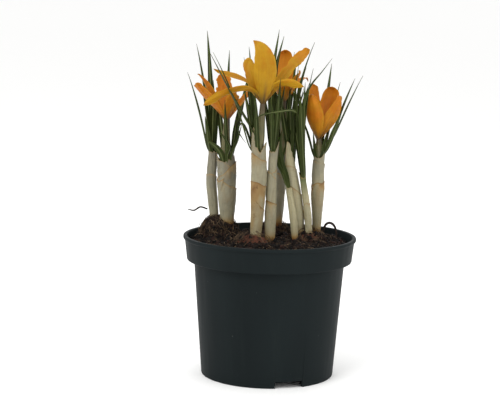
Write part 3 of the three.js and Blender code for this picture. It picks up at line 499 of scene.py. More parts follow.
def paper(tree):
    """Papery sheath: dry translucent skin with fine lengthwise fibres and faint rings. Its shade
    runs from -1, leaf green, through 0, cream, to 1, grey, which is partly the skin's own grey and
    partly painted shade. Its tone runs from 0, fresh, to 1, rusty brown where it has dried."""
    uv = add(tree, "TexCoord", out="UV")
    place = add(tree, "TexCoord", out="Object")
    tone = add(tree, "Attribute", out="Fac", attribute_name="tone")
    shade = add(tree, "Attribute", out="Fac", attribute_name="shade")
    # Fibres about 0.5 mm apart round a shoot of 8 mm, rings 1 mm apart, patches of 8 mm, spots of 3.
    fibre = grain(tree, uv, 1.0, 3.0, (40, 2.2, 1), distort=0.4)
    ring = grain(tree, place, 800, 3.0, (0.3, 0.3, 1), distort=1.2)
    cloud = grain(tree, place, 130, 3.0, (1, 1, 0.6), distort=0.8)
    spots = grain(tree, place, 340, 2.0)
    patches = add(tree, "MapRange", {0: cloud, 1: 0.3, 2: 0.7, 3: -0.12, 4: 0.12})
    worn = add(tree, "Math", {0: tone, 1: patches}, operation="ADD")
    # Patches of more and less grey; the grey is partly the skin's own and partly painted shade.
    grey_shade_patches = add(tree, "MapRange", {0: cloud, 1: 0.3, 2: 0.7, 3: -0.15, 4: 0.15})
    greyness = add(tree, "Math", {0: shade, 1: grey_shade_patches}, operation="ADD")
    pale = add(tree, "Mix", {0: greyness, 6: "#a69d7c", 7: "#5b5a53"}, 2, data_type="RGBA")
    pale = painted(tree, pale, "#625d4b", fibre, 0.42, 0.75, 0.0, 0.35)
    pale = painted(tree, pale, "#6b6148", ring, 0.5, 0.7, 0.0, 0.2)
    pale = painted(tree, pale, "#4c562c", shade, -1.0, -0.2, 0.9, 0.0)
    tan = painted(tree, "#94794b", "#704a1f", worn, 0.35, 1.0)
    tint = painted(tree, pale, tan, worn, 0.04, 0.45)
    speckled = add(tree, "MapRange", {0: spots, 1: 0.62, 2: 0.7, 3: 0.0, 4: 0.6})
    where = add(tree, "MapRange", {0: worn, 1: 0.05, 2: 0.5, 3: 0.0, 4: 1.0})
    old = add(tree, "Math", {0: speckled, 1: where}, operation="MULTIPLY")
    tint = add(tree, "Mix", {0: old, 6: tint, 7: "#56361a"}, 2, data_type="RGBA")
    fine = add(tree, "Bump", {"Strength": 0.5, "Distance": 0.18 * MM, "Height": fibre})
    rings = add(tree, "Bump", {"Strength": 0.5, "Distance": 0.4 * MM, "Height": ring, "Normal": fine})
    relief = add(tree, "Bump", {"Strength": 0.5, "Distance": 1.2 * MM, "Height": cloud, "Normal": rings})
    return {"Base Color": tint, "Normal": relief, "Roughness": 0.5, "Specular IOR Level": 0.3,
            "Subsurface Weight": 0.2, "Subsurface Radius": (1.0, 0.8, 0.5), "Subsurface Scale": 1.5 * MM}


def neck(tree):
    """Flower tube and its bract: soft grey-beige tissue with brownish green streaks."""
    uv = add(tree, "TexCoord", out="UV")
    v = add(tree, "SeparateXYZ", {0: uv}, 1)
    # Streaks about 0.4 mm wide round a tube of 4 mm, patches of 7 mm.
    fibre = grain(tree, uv, 1.0, 3.0, (26, 1.5, 1))
    cloud = grain(tree, add(tree, "TexCoord", out="Object"), 150, 3.0)
    tint = painted(tree, "#77714a", "#4d482a", fibre, 0.35, 0.7)
    tint = painted(tree, tint, "#45452a", cloud, 0.45, 0.7, 0.0, 0.5)
    tint = painted(tree, tint, "#4a3826", v, 0.74, 0.98, 0.0, 0.9)
    relief = add(tree, "Bump", {"Strength": 0.5, "Distance": 0.2 * MM, "Height": fibre})
    return {"Base Color": tint, "Normal": relief, "Roughness": 0.5, "Subsurface Weight": 0.15,
            "Subsurface Scale": 1 * MM}


def peat(tree):
    """Damp peat: nearly black brown, dull, each crumb of its own tone from black to red brown, and
    a few of them pale grit."""
    place = add(tree, "TexCoord", out="Object")
    tone = add(tree, "Attribute", out="Fac", attribute_name="tone")
    # Clods of about 4 mm and crumbs of under 1 mm.
    coarse = grain(tree, place, 260, 4.0)
    crumbly = grain(tree, place, 1300, 3.0)
    tint = painted(tree, "#060403", "#130d0a", coarse, 0.35, 0.7)
    tint = painted(tree, tint, "#33201a", tone, 0.6, 1.0, 0.0, 0.9)
    tint = painted(tree, tint, "#291b14", crumbly, 0.6, 0.75, 0.0, 0.4)
    tint = painted(tree, tint, "#80756a", tone, GRIT_TONE, GRIT_TONE + 0.001)
    relief = add(tree, "Bump", {"Strength": 0.9, "Distance": 0.8 * MM, "Height": crumbly})
    return {"Base Color": tint, "Normal": relief, "Roughness": 0.9, "Specular IOR Level": 0.2}


def dry_fibre(light, dark):
    """Dry plant fibre: its tone goes from dark to light, and light ones are flecked every 2 mm."""
    def build(tree):
        tone = add(tree, "Attribute", out="Fac", attribute_name="tone")
        cloud = grain(tree, add(tree, "TexCoord", out="Object"), 420, 3.0)
        flecks = add(tree, "MapRange", {0: cloud, 1: 0.3, 2: 0.6, 3: 0.4, 4: 1.0})
        share = add(tree, "Math", {0: tone, 1: flecks}, operation="MULTIPLY")
        tint = add(tree, "Mix", {0: share, 6: dark, 7: light}, 2, data_type="RGBA")
        return {"Base Color": tint, "Roughness": 0.8, "Specular IOR Level": 0.2}
    return build


def tunic(tree):
    """Corm tunic: dry netted skin of parallel fibres, dark brown to red brown by its tone."""
    tone = add(tree, "Attribute", out="Fac", attribute_name="tone")
    # Fibres about 0.7 mm apart round a corm of 20 mm, dark patches of 4 mm.
    fibre = grain(tree, add(tree, "TexCoord", out="UV"), 1.0, 3.0, (90, 5, 1), distort=0.6)
    cloud = grain(tree, add(tree, "TexCoord", out="Object"), 260, 4.0)
    tint = add(tree, "Mix", {0: tone, 6: "#2b1c13", 7: "#6e402e"}, 2, data_type="RGBA")
    tint = painted(tree, tint, "#33201a", fibre, 0.35, 0.7, 0.0, 0.6)
    tint = painted(tree, tint, "#120b08", cloud, 0.5, 0.66, 0.0, 0.85)
    fine = add(tree, "Bump", {"Strength": 0.8, "Distance": 0.6 * MM, "Height": fibre})
    relief = add(tree, "Bump", {"Strength": 0.8, "Distance": 1 * MM, "Height": cloud, "Normal": fine})
    return {"Base Color": tint, "Normal": relief, "Roughness": 0.75, "Specular IOR Level": 0.2}


def pollen(light, dark):
    """Anther or stigma: soft and dull, with grains of about 0.5 mm."""
    def build(tree):
        grains = grain(tree, add(tree, "TexCoord", out="Object"), 2200, 2.0)
        relief = add(tree, "Bump", {"Strength": 0.5, "Distance": 0.1 * MM, "Height": grains})
        return {"Base Color": painted(tree, light, dark, grains, 0.35, 0.65), "Normal": relief,
                "Roughness": 0.75}
    return build


def plastic(tree):
    """Moulded polypropylene: thin, dark grey-green, satin, with faint upright flow streaks and a
    few pale specks of dust."""
    place = add(tree, "TexCoord", out="Object")
    # Streaks 5 mm wide, patches of 40 mm, moulded texture of 0.4 mm, one 0.3 mm speck to 9 mm.
    streak = grain(tree, place, 210, 4.0, (1, 1, 0.06))
    broad = grain(tree, place, 26, 2.0, (1, 1, 0.25))
    fine = grain(tree, place, 2600, 2.0)
    speck = add(tree, "TexVoronoi", {"Vector": place, "Scale": 110.0}, "Distance")
    tint = painted(tree, "#161b1c", "#1b2122", broad, 0.3, 0.7)
    tint = painted(tree, tint, "#202626", streak, 0.5, 0.8, 0.0, 0.4)
    tint = painted(tree, tint, "#6d7270", speck, 0.016, 0.026, 0.6, 0.0)
    satin = add(tree, "MapRange", {0: streak, 1: 0.3, 2: 0.7, 3: 0.45, 4: 0.6})
    moulded = add(tree, "Bump", {"Strength": 0.12, "Distance": 0.08 * MM, "Height": fine})
    relief = add(tree, "Bump", {"Strength": 0.2, "Distance": 0.6 * MM, "Height": broad, "Normal": moulded})
    return {"Base Color": tint, "Normal": relief, "Roughness": satin, "Specular IOR Level": 0.04}


def studio_floor(tree):
    """Matt painted floor."""
    return {"Base Color": "#fdfdfc", "Roughness": 0.9, "Specular IOR Level": 0.1}


M = {
    "petal": finish("crocus_tepal", petal),
    "leaf": finish("waxy_leaf", blade),
    "sheath": finish("papery_sheath", paper),
    "tube": finish("flower_tube", neck),
    "peat": finish("damp_peat", peat),
    "bits": finish("peat_fibre", dry_fibre("#8d7458", "#1d130d")),
    "root": finish("dry_root", dry_fibre("#5a5046", "#2a201a")),
    "tunic": finish("corm_tunic", tunic),
    "stigma": finish("orange_stigma", pollen("#e0761a", "#c85a12")),
    "anther": finish("yellow_anther", pollen("#d9a53a", "#b98420")),
    "pot": finish("moulded_polypropylene", plastic),
}


# ------------------------------------------------------------------ pot
def inside(z):
    """Inner radius of the pot at height z: straight tapers of body and collar less the wall."""
    body = FOOT + (BODY_TOP - FOOT) * z / LEDGE
    collar = COLLAR_FOOT + (COLLAR_TOP - COLLAR_FOOT) * (z - LEDGE) / COLLAR_HEIGHT
    return np.where(z < LEDGE, body, collar) - POT_WALL


def rounded(profile, radii, steps=4):
    """Profile of [r, z] points whose corners are rounded: each corner is swapped for a short
    quadratic arc that starts and ends at its radius from the corner."""
    p = np.asarray(profile, float)
    out = [p[:1]]
    for a, b, c, r in zip(p[:-2], p[1:-1], p[2:], radii):
        d0, d1 = a - b, c - b
        l0, l1 = np.linalg.norm(d0), np.linalg.norm(d1)
        q = min(r, 0.45 * l0, 0.45 * l1)
        t = np.linspace(0, 1, steps + 1)[:, None]
        s0, s1 = b + d0 / l0 * q, b + d1 / l1 * q
        out.append((1 - t) ** 2 * s0 + 2 * t * (1 - t) * b + t**2 * s1)
    out.append(p[-1:])
    return np.vstack(out)


def pot_profile():
    """Outline of the pot from the middle of its underside, up its outside, over the lip and down
    its inside to the middle of the floor. Both ends stop just off the axis, where a fan closes them."""
    top, step = POT_HEIGHT, LEDGE + POT_WALL
    corners = [  # radius, height, rounding
        (0.4, FLOOR_UNDER, 0), (FOOT - FOOT_WALL, FLOOR_UNDER, 0.3), (FOOT - FOOT_WALL, 0, 0.3),
        (FOOT, 0, 0.5), (FOOT + (BODY_TOP - FOOT) * 0.5, LEDGE * 0.5, 0.1), (BODY_TOP, LEDGE, 0.4),
        (COLLAR_FOOT, LEDGE, 0.7), (COLLAR_TOP - 0.05, top - 2.0, 0.3), (RIM, top - LIP_HEIGHT, 0.3),
        (RIM, top, 0.7), (inside(top), top, 0.5), (inside(step), step, 0.6),
        (BODY_TOP - POT_WALL, step, 0.6), (inside(FLOOR_TOP), FLOOR_TOP, 0.8), (0.4, FLOOR_TOP, 0)]
    return rounded([corner[:2] for corner in corners], [corner[2] for corner in corners[1:-1]])


def drills(sides=32):
    """Round bars through the floor at the places of the drain holes."""
    spots = np.radians(10 + 360 / DRAINS * np.arange(DRAINS))
    a = np.linspace(0, 2 * np.pi, sides, endpoint=False)
    circle = DRAIN_RADIUS * np.stack([np.cos(a), np.sin(a), 0 * a], -1)
    place = DRAIN_RING * np.stack([np.cos(spots), np.sin(spots), 0 * spots], -1)
    levels = np.array([[0, 0, FLOOR_UNDER - 2], [0, 0, FLOOR_TOP + 0.2]])
    bars = place[:, None, None] + levels[None, :, None] + circle[None, None]
    return many(bars, np.zeros((1, sides + 1)), np.zeros((2, 1)), np.zeros(DRAINS))


def make_pot():
    """Pot wall and floor: a profile turned about Z. The foot's lowest rings are lifted inside the
    notches, and round holes are cut through the floor."""
    curve = pot_profile()
    half = math.asin(NOTCH_WIDTH / 2 / FOOT)
    middles = [math.radians(NOTCH_ANGLE + 360 / NOTCHES * k - 90) for k in range(NOTCHES)]
    cuts = [(middle - half, middle + half) for middle in middles]
    base = np.linspace(0, 2 * np.pi, 240, endpoint=False)
    edges = [e + d for cut in cuts for e in cut for d in (-0.0004, 0.0004)]
    angles = np.unique(np.round(np.mod(np.concatenate([base, edges]), 2 * np.pi), 5))
    lifted = np.zeros(len(angles), bool)
    for lo, hi in cuts:
        lifted |= np.mod(angles - lo, 2 * np.pi) < (hi - lo)
    low = curve[:, 1] < NOTCH_HEIGHT - 0.1
    z = np.where(low[:, None] & lifted[None, :], NOTCH_HEIGHT, curve[:, 1][:, None])
    r = curve[:, 0][:, None] * np.ones(len(angles))
    rings = np.stack([r * np.cos(angles), r * np.sin(angles), z], -1)
    u = np.append(angles, 2 * np.pi) / (2 * np.pi)
    along = np.linspace(0, 1, len(curve))[:, None]
    pot = piece("nursery_pot", [skin(rings, u[None, :], along)], M["pot"], "pot_plastic", "pot", crease=32)
    drill = shape("drills", [drills()])
    cut = pot.modifiers.new("drain_holes", "BOOLEAN")
    cut.object, cut.operation, cut.solver = drill, "DIFFERENCE", "EXACT"
    bpy.context.view_layer.objects.active = pot
    bpy.ops.object.modifier_apply(modifier=cut.name)
    bpy.data.objects.remove(drill)


# ------------------------------------------------------------------ peat
def ground(x, y):
    """Height of the peat: level near the rim, heaped over the corms, plus three sizes of lumps that
    die out at the wall."""
    r = np.hypot(x, y) / PEAT_RADIUS
    z = PEAT_MIDDLE + (PEAT_EDGE - PEAT_MIDDLE) * np.minimum(1, r * r)
    for hx, hy, high, wide in HEAPS:
        z = z + high * np.exp(-((x - hx) ** 2 + (y - hy) ** 2) / wide**2)
    lumps = (0.8 * value_noise(x, y, 5.5, 1) + 0.8 * value_noise(x, y, 2.6, 2)
             + 0.5 * np.abs(value_noise(x, y, 1.2, 3)))
    return z + lumps * smooth(0, 0.12, 1.02 - r)


def make_soil(sides=220, rows=90):
    """Bed of peat: a disc of rings whose height is ground(x, y), closed by its sides and a flat base."""
    angles = np.linspace(0, 2 * np.pi, sides, endpoint=False)
    edge = float(inside(PEAT_EDGE)) - 0.25
    radii = edge * np.linspace(1, 0.004, rows)
    x, y = radii[:, None] * np.cos(angles), radii[:, None] * np.sin(angles)
    top = np.stack([x, y, ground(x, y)], -1)
    walls = [np.stack([r * np.cos(angles), r * np.sin(angles), np.full(sides, float(z))], -1)[None]
             for r, z in PEAT_SIDE + [(edge, PEAT_STEP)]]
    rings = np.concatenate([*walls, top])
    u, v = np.linspace(0, 1, sides + 1)[None, :], np.linspace(0, 1, len(rings))[:, None]
    piece("peat_bed", [skin(rings, u, v)], M["peat"], "peat", "soil")


def strands(paths, radii, tone, sides=3):
    """Thin rods along many paths at once: paths (n, rows, 3), radii (n, rows), one tone for each.
    Each ring is a regular polygon square to the path."""
    _, normal, across = carried(paths, (0.31, 0.23, 0.92))
    angles = np.linspace(0, 2 * np.pi, sides, endpoint=False)
    rings = around(paths, normal, across, radii[..., None], angles)
    u, v = np.linspace(0, 1, sides + 1)[None], np.linspace(0, 1, paths.shape[1])[:, None]
    return [many(rings, u, v, tone)]


def corm_top(x, y):
    """Height of the highest corm over a place, far below the pot where there is none."""
    tops = [z + half * np.sqrt(np.clip(1 - ((x - cx) ** 2 + (y - cy) ** 2) / radius**2, 0, 1))
            - 99 * ((x - cx) ** 2 + (y - cy) ** 2 > radius**2)
            for cx, cy, z, radius, half in CORMS.values()]
    return np.max(tops, axis=0)


def heaped(x, y):
    """Height of whatever lies open at a place: the peat or a corm above it."""
    return np.maximum(ground(x, y), corm_top(x, y))


def clear_of_shoots(x, y, gap):
    """True where a point is further than gap from every sheath at its foot."""
    feet = np.array([shoot["axis"][0] for shoot in SHOOTS.values()])
    away = np.hypot(np.asarray(x)[..., None] - feet[:, 0], np.asarray(y)[..., None] - feet[:, 1])
    return (away > feet[:, 3] + np.asarray(gap)[..., None]).all(-1)


def scattered(rng, spread, over_heap):
    """Random places on the peat, as x and y, and more of them over the left corm."""
    r, a = OPEN_PEAT * np.sqrt(rng.uniform(0, 1, spread)), rng.uniform(0, 2 * np.pi, spread)
    hx, hy = CORMS["left"][:2]
    near, turn = 12 * rng.uniform(0, 1, over_heap) ** 0.6, rng.uniform(0, 2 * np.pi, over_heap)
    x = np.concatenate([r * np.cos(a), hx + near * np.cos(turn)])
    y = np.concatenate([r * np.sin(a), hy + near * np.sin(turn)])
    return x, y


def make_crumbs(rows=3, sides=5):
    """Loose crumbs of peat: small balls of a few faces, each point pushed in or out at random. Few
    lie on the bare red corm in front, and the pale grit is smaller."""
    rng = np.random.default_rng(11)
    x, y = scattered(rng, *CRUMBS)
    size = 0.25 + 0.95 * rng.uniform(0, 1, len(x)) ** 3
    tone = rng.uniform(0, 1, len(x))
    size = np.where(tone > GRIT_TONE, 0.35 * size, size)
    red_x, red_y = CORMS["centre"][:2]
    bare = (np.hypot(x - red_x, y - red_y) < 10) & (rng.uniform(0, 1, len(x)) < 0.75)
    keep = clear_of_shoots(x, y, 0.5 * size) & (np.hypot(x, y) < OPEN_PEAT) & ~bare
    x, y, size, tone = x[keep], y[keep], size[keep], tone[keep]
    lat, lon = np.linspace(-1.0, 1.0, rows), np.linspace(0, 2 * np.pi, sides, endpoint=False)
    ball = np.stack([np.cos(lat)[:, None] * np.cos(lon), np.cos(lat)[:, None] * np.sin(lon),
                     np.sin(lat)[:, None] * np.full(sides, 0.9)], -1)
    dented = rng.uniform(0.65, 1.35, (len(x), rows, sides, 1))
    squashed = rng.uniform(0.6, 1.4, (len(x), 1, 1, 3))
    rings = ball * size[:, None, None, None] * dented * squashed
    rings = rings + np.stack([x, y, heaped(x, y) + 0.3 * size], -1)[:, None, None]
    u, v = np.linspace(0, 1, sides + 1)[None], np.linspace(0, 1, rows)[:, None]
    piece("peat_crumbs", [many(rings, u, v, tone)], M["peat"], "peat", crease=80)


def make_fibres():
    """Loose fibres lying on the peat and tangled over the left corm: short bent rods, thinner at the
    ends, arched above what they lie on."""
    rng = np.random.default_rng(5)
    x, y = scattered(rng, *FIBRES)
    n = len(x)
    heading, bend = rng.uniform(0, 2 * np.pi, n)[:, None], rng.uniform(-0.9, 0.9, n)[:, None]
    length = rng.uniform(2.5, 7.5, n)[:, None]
    s = np.linspace(-0.5, 0.5, 7)
    along, aside = s * length, bend * s**2 * length
    px = x[:, None] + along * np.cos(heading) - aside * np.sin(heading)
    py = y[:, None] + along * np.sin(heading) + aside * np.cos(heading)
    keep = (np.hypot(px, py).max(1) < OPEN_PEAT) & clear_of_shoots(px, py, 0.3).all(1)
    px, py, over = px[keep], py[keep], (np.arange(n) >= FIBRES[0])[keep]
    arch = rng.uniform(0.15, 0.9, len(px)) + over * rng.uniform(0, 1.8, len(px))
    paths = np.stack([px, py, heaped(px, py) + arch[:, None] * (1 - (2 * s) ** 2) + 0.1], -1)
    thick = rng.uniform(0.06, 0.17, (len(px), 1)) * (1 - 0.6 * (2 * s) ** 2)
    tone = np.where(over, rng.uniform(0, 1, len(px)) ** 4, 0.7 * rng.uniform(0, 1, len(px)) ** 2)
    piece("peat_fibres", strands(paths, thick, tone), M["bits"], "root")


# ------------------------------------------------------------------ corms
def make_corm(name, rows=48, sides=96, fibres=150):
    """Corm in its tunic: a squashed ball with shallow upright ribs and dents, and loose fibres that
    follow its meridians and stand off near the top."""
    x, y, z, radius, half = CORMS[name]
    rng = np.random.default_rng(len(name) + int(radius))
    lat, lon = np.linspace(-1.45, 1.5, rows), np.linspace(0, 2 * np.pi, sides, endpoint=False)
    across, up = np.meshgrid(lon, lat)
    dents = value_noise(6 * np.cos(across) * np.cos(up), 6 * np.sin(across) * np.cos(up) + 3 * up, 1.0, 60)
    rib = 1 + 0.012 * np.sin(23 * across + 1.3) + 0.01 * np.sin(41 * across + 4 * up) + 0.05 * dents - 0.03
    rings = np.stack([x + radius * rib * np.cos(up) * np.cos(across),
                      y + radius * rib * np.cos(up) * np.sin(across), z + half * rib * np.sin(up)], -1)
    u, v = np.linspace(0, 1, sides + 1)[None], np.linspace(0, 1, rows)[:, None]
    body = skin(rings, u, v, tone=RED[name])
    piece(f"corm_body_{name}", [body], M["tunic"], "corm_tunic", f"corm_{name}")
    a0, top = rng.uniform(0, 2 * np.pi, fibres), rng.uniform(0.5, 1.45, fibres)
    s = np.linspace(0, 1, 12)
    swing, beat = rng.uniform(0.05, 0.3, (fibres, 1)), rng.uniform(0, 6, (fibres, 1))
    la = top[:, None] * s + swing * 0.4 * np.sin(7 * s + beat)
    lo = a0[:, None] + rng.uniform(-0.7, 0.7, (fibres, 1)) * s + swing * np.sin(5 * s + beat)
    off = 1.01 + rng.uniform(0, 0.25, (fibres, 1)) * s**2 + 0.03 * (1 + np.sin(9 * s + beat))
    paths = np.stack([x + radius * off * np.cos(la) * np.cos(lo), y + radius * off * np.cos(la) * np.sin(lo),
                      z + half * off * np.sin(la)], -1)
    thick = rng.uniform(0.08, 0.2, (fibres, 1)) * (1 - 0.5 * s)
    tone = 0.7 * rng.uniform(0, 1, fibres) ** 2.5
    piece(f"tunic_fibres_{name}", strands(paths, thick, tone), M["bits"], "corm_tunic")


# ------------------------------------------------------------------ sheaths
def shoot_axis(shoot, s):
    """Axis points and radius of a shoot at s in 0..1."""
    axis = np.array(SHOOTS[shoot]["axis"], float)
    points = catmull(axis[:, :3], s)
    radius = np.interp(s * (len(axis) - 1), np.arange(len(axis)), axis[:, 3])
    return points, radius


def mouth_lift(a, mouth):
    """Rise of a mouth at angle a: a lift all round, and bumps shaped as half a cosine wave."""
    lift, bumps = mouth
    total = lift + 0 * a
    for side, rise, width in bumps:
        away = np.abs((np.degrees(a) - side + 180) % 360 - 180)
        total = total + rise * (0.5 + 0.5 * np.cos(np.pi * np.minimum(1, away / width)))
    return total


def wrinkles(z, a, seed):
    """Folds 1.3 mm apart that run round the shoot and slant, and broader dents, at height z and
    angle a. All layers of a shoot share them, so that none breaks through another."""
    c, d = np.cos(a), np.sin(a)
    fold = value_noise(z / 1.3 + 1.6 * c, 1.5 * d + 0.05 * z, 1.0, seed)
    dent = value_noise(z / 7 + 0.9 * c, 1.7 * d + 3 * c, 1.0, seed + 50)
    return 0.06 * fold + 0.16 * dent


def thinned(s, ends):
    """How much a layer's radius drops at s below each wrap that covers it up to one of the ends."""
    return sum((WRAP_STEP * smooth(end + 0.1, end - 0.06, s) for end in ends), 0 * s)


def sheath_skin(shoot, seed, rows=40, cols=64, wall=0.22):
    """Innermost sheath, a hollow tube round the shoot: outer wall up, inner wall down. Folds and
    dents change its radius, and its mouth rises in lobes. It is thinner where wraps cover it."""
    facts = SHOOTS[shoot]
    s = np.linspace(0, 1, rows)
    path, radius = shoot_axis(shoot, s)
    tangent, normal, across = carried(path, (1, 0, 0))
    a = np.linspace(0, 2 * np.pi, cols, endpoint=False)
    torn = 0.5 * value_noise(np.cos(a) * 6, np.sin(a) * 6, 1.2, seed)
    lift = smooth(0.6, 1.0, s)[:, None] * (mouth_lift(a, facts["mouth"]) + torn)[None]
    thin = thinned(s, [wrap[0] for wrap in facts["wraps"]])
    flare = 0.2 * smooth(0.93, 1.0, s)
    folds = wrinkles(path[:, 2:], a[None], seed)

    def layer(extra):
        """Rings at the sheath's radius plus extra, raised to the lobes of its mouth."""
        r = (radius - thin + flare)[:, None] + folds + extra
        return around(path, normal, across, r, a) + lift[..., None] * tangent[:, None]
    rings = np.concatenate([layer(0.0), layer(-wall)[::-1]])
    along = np.concatenate([s, s[::-1], s[:1]])[:, None]
    below, above = path[-1, 2] - path[:, 2], path[:, 2] - path[0, 2]
    stain = facts.get("stain", FOOT_STAIN) * np.exp(-(above - 3) / 1.5)
    tone = np.clip(0.3 * np.exp(-below / 0.6) + stain, 0, 1)[:, None] + 0 * a
    green = facts.get("green", 0) * smooth(0.4, 1, s)
    # Shade: green where given, and greyer towards the mouth, partly the skin's own grey and partly painted
    # shade.
    shade = (np.interp(s, (0, 1), facts["grey"]) - green)[:, None] + 0 * a
    return skin(rings, np.linspace(0, 1, cols + 1)[None], along, tone=np.concatenate([tone, tone[::-1]]),
                shade=np.concatenate([shade, shade[::-1]]), loop=True)


def wrap_skin(shoot, number, seed, rows=44, cols=72, wall=0.1, turns=1.12):
    """Outer wrap: a thin sheet rolled a little more than once round the shoot, its radius growing
    along the roll so that the free edge lies on top, and the roll turning slowly up the shoot.
    The upper edge slants by slant * (1 + cos(angle - side)) / 2 and is cut back at the free corner.
    Its tone is tan at the rim and fades downwards, tan * exp(-distance / reach), with a thin brown
    line along each free edge and a stain at the foot."""
    facts = SHOOTS[shoot]
    end, slant, side, tan, reach = facts["wraps"][number]
    side = math.radians(side)
    s = np.linspace(0, end, rows)
    path, radius = shoot_axis(shoot, s)
    tangent, normal, across = carried(path, (1, 0, 0))
    q = (s / end)[:, None]
    roll = np.linspace(0, turns, cols)
    flat = side + math.radians(150) + 2 * np.pi * roll
    a = flat[None] + WRAP_TWIST * q
    torn = 0.6 * value_noise(roll * 9, 0 * roll + seed, 1.0, 200 + number)
    cut_back = 3 * smooth(turns - 0.24, turns, roll)
    high = slant * (0.5 + 0.5 * np.cos(flat + WRAP_TWIST - side)) + torn - cut_back
    lift = smooth(0.45, 1.0, q) * high[None]
    folds = wrinkles(path[:, 2:], a, seed)
    thin = thinned(s, [other[0] for other in facts["wraps"] if other[0] < end])
    free = 0.1 * smooth(turns - 0.16, turns, roll)[None] * smooth(0.3, 1.0, q)
    edge = free + 0.12 * smooth(0.93, 1.0, q)

    def layer(extra):
        """Rows at the wrap's radius plus extra, raised to its slanting edge."""
        r = (radius - thin)[:, None] - 0.12 + 0.12 * roll[None] + folds + edge + extra
        return around(path, normal, across, r, a) + lift[..., None] * tangent[:, None]
    rings = np.concatenate([layer(wall), layer(0.0)[:, ::-1]], axis=1)
    u = np.concatenate([roll, roll[::-1], roll[:1]])[None]
    length = path[-1, 2] - path[0, 2]
    depth, rise = (1 - q) * length, q * length
    patch = 0.5 + 0.5 * value_noise(1.6 * np.cos(a) + 0 * q, rise / 4 + 1.6 * np.sin(a), 1.0, seed + 3)
    facing = 0.7 + 0.3 * np.cos(a - side)
    dry = tan * np.exp(-depth / reach) * (0.35 + 0.9 * patch) * facing
    line = 0.55 * np.exp(-depth / 0.35) + 0.3 * np.exp(-(turns - roll[None]) * 25 / 0.5)
    foot = facts.get("stain", FOOT_STAIN) * np.exp(-(rise - 3) / 2)
    tone = np.clip(np.maximum(dry, foot) + line * (0.3 + tan), 0, 1)
    # Greyer towards the mouth, partly the skin's own grey and partly painted shade.
    shade = np.interp(s, (0, 1), facts["grey"])[:, None] + 0 * roll
    return skin(rings, u, q, tone=np.concatenate([tone, tone[:, ::-1]], axis=1),
                shade=np.concatenate([shade, shade], axis=1))


def make_sheaths(shoot, seed):
    """Inner sheath of a shoot, and its wraps as one piece."""
    inner = sheath_skin(shoot, seed)
    piece(f"inner_sheath_{shoot}", [inner], M["sheath"], "papery_sheath", f"sheath_{shoot}")
    wraps = [wrap_skin(shoot, number, seed) for number in range(len(SHOOTS[shoot]["wraps"]))]
    if wraps:
        piece(f"outer_sheath_{shoot}", wraps, M["sheath"], "papery_sheath")


# ------------------------------------------------------------------ leaves
def leaf_path(shoot, leaf, s):
    """Path of a leaf and the direction it leans: a quadratic curve from inside the mouth to the
    tip, or a curve through the points given on the way. It is drawn in towards the axis wherever
    it would cross the sheath below the mouth's edge."""
    mouth, _ = shoot_axis(shoot, np.array([0.98, 1.0]))
    radius = SHOOTS[shoot]["axis"][-1][3]
    up = unit(mouth[1] - mouth[0])
    foot = mouth[1] - up * LEAF_DEPTH
    tip = np.array(leaf[:3], float)
    via = [np.array(p, float) for p in leaf[5:]]
    out = (via[0] if via else tip) - foot
    out = unit(out - up * (out @ up))
    start = foot + out * (radius - WALL - 0.65)
    if via:
        path = catmull([start, *via, tip], s)
    else:
        reach = np.linalg.norm(tip - start)
        bow = leaf[3]
        control = (1 - bow) * (start + tip) / 2 + bow * (start + up * reach * 0.5)
        t = s[:, None]
        path = (1 - t) ** 2 * start + 2 * t * (1 - t) * control + t**2 * tip
    rel = path - mouth[1]
    height = rel @ up
    aside = rel - height[:, None] * up
    width = np.maximum(np.linalg.norm(aside, axis=1), 1e-6)
    lip = mouth_lift(np.arctan2(aside[:, 1], aside[:, 0]), SHOOTS[shoot]["mouth"])
    room = radius - 0.75 + 0.9 * np.maximum(0, height - lip + 0.6)
    held = (1 + (width / room) ** 6) ** (-1 / 6)
    return mouth[1] + height[:, None] * up + aside * held[:, None], out


def leaf_skin(shoot, leaf, seed, rows=46, columns=7):
    """Blade: at each station an upper and a lower row, t from -1 to 1 across. The half width is
    w/2 * min(1, (1-s)/taper)^0.75, less near the foot. The upper row is a shallow channel,
    0.32 * |t|^1.5 of the half width, and the lower row adds the thickness, greatest at the keel."""
    rng = np.random.default_rng(seed)
    s = np.linspace(0, 1, rows)
    path, out = leaf_path(shoot, leaf, s)
    _, normal, across = carried(path, out)
    turn = (rng.uniform(-0.5, 0.5) * s + rng.uniform(-0.25, 0.25) * np.sin(3 * s))[:, None]
    n = normal * np.cos(turn) + across * np.sin(turn)
    b = across * np.cos(turn) - normal * np.sin(turn)
    share = np.clip(np.minimum(1, (1 - s) / LEAF_TAPER) ** 0.75, 0.06, 1)
    half = leaf[4] / 2 * share * (0.5 + 0.5 * smooth(0, 0.25, s))
    t = np.linspace(-1, 1, columns)
    rise = -0.32 * half[:, None] * np.abs(t) ** 1.5
    thick = LEAF_THICK * np.maximum(0.3, share)[:, None] * (0.25 + 0.45 * (1 - np.abs(t)) ** 2)

    def layer(level):
        """Rows across the blade at that level over its path."""
        return path[:, None] + (half[:, None] * t)[..., None] * b[:, None] + level[..., None] * n[:, None]
    rings = np.concatenate([layer(rise), layer(rise + thick)[:, ::-1]], axis=1)
    u = np.concatenate([t, t[::-1], t[:1]])[None]
    side = np.concatenate([np.ones(columns), np.zeros(columns)])[None]
    return skin(rings, u, s[:, None], tone=side)


def stalk_skin(shoot, rows=14, sides=20):
    """Pale stalk that fills the sheath below the leaves."""
    s = np.linspace(0, 0.95, rows)
    path, radius = shoot_axis(shoot, s)
    _, normal, across = carried(path, (1, 0, 0))
    angles = np.linspace(0, 2 * np.pi, sides, endpoint=False)
    r = (radius - WALL - 0.4) * np.where(s > 0.9, 0.8, 1.0)
    rings = around(path, normal, across, r[:, None], angles)
    return skin(rings, np.full((1, sides + 1), 0.5), 0.1 * s[:, None])


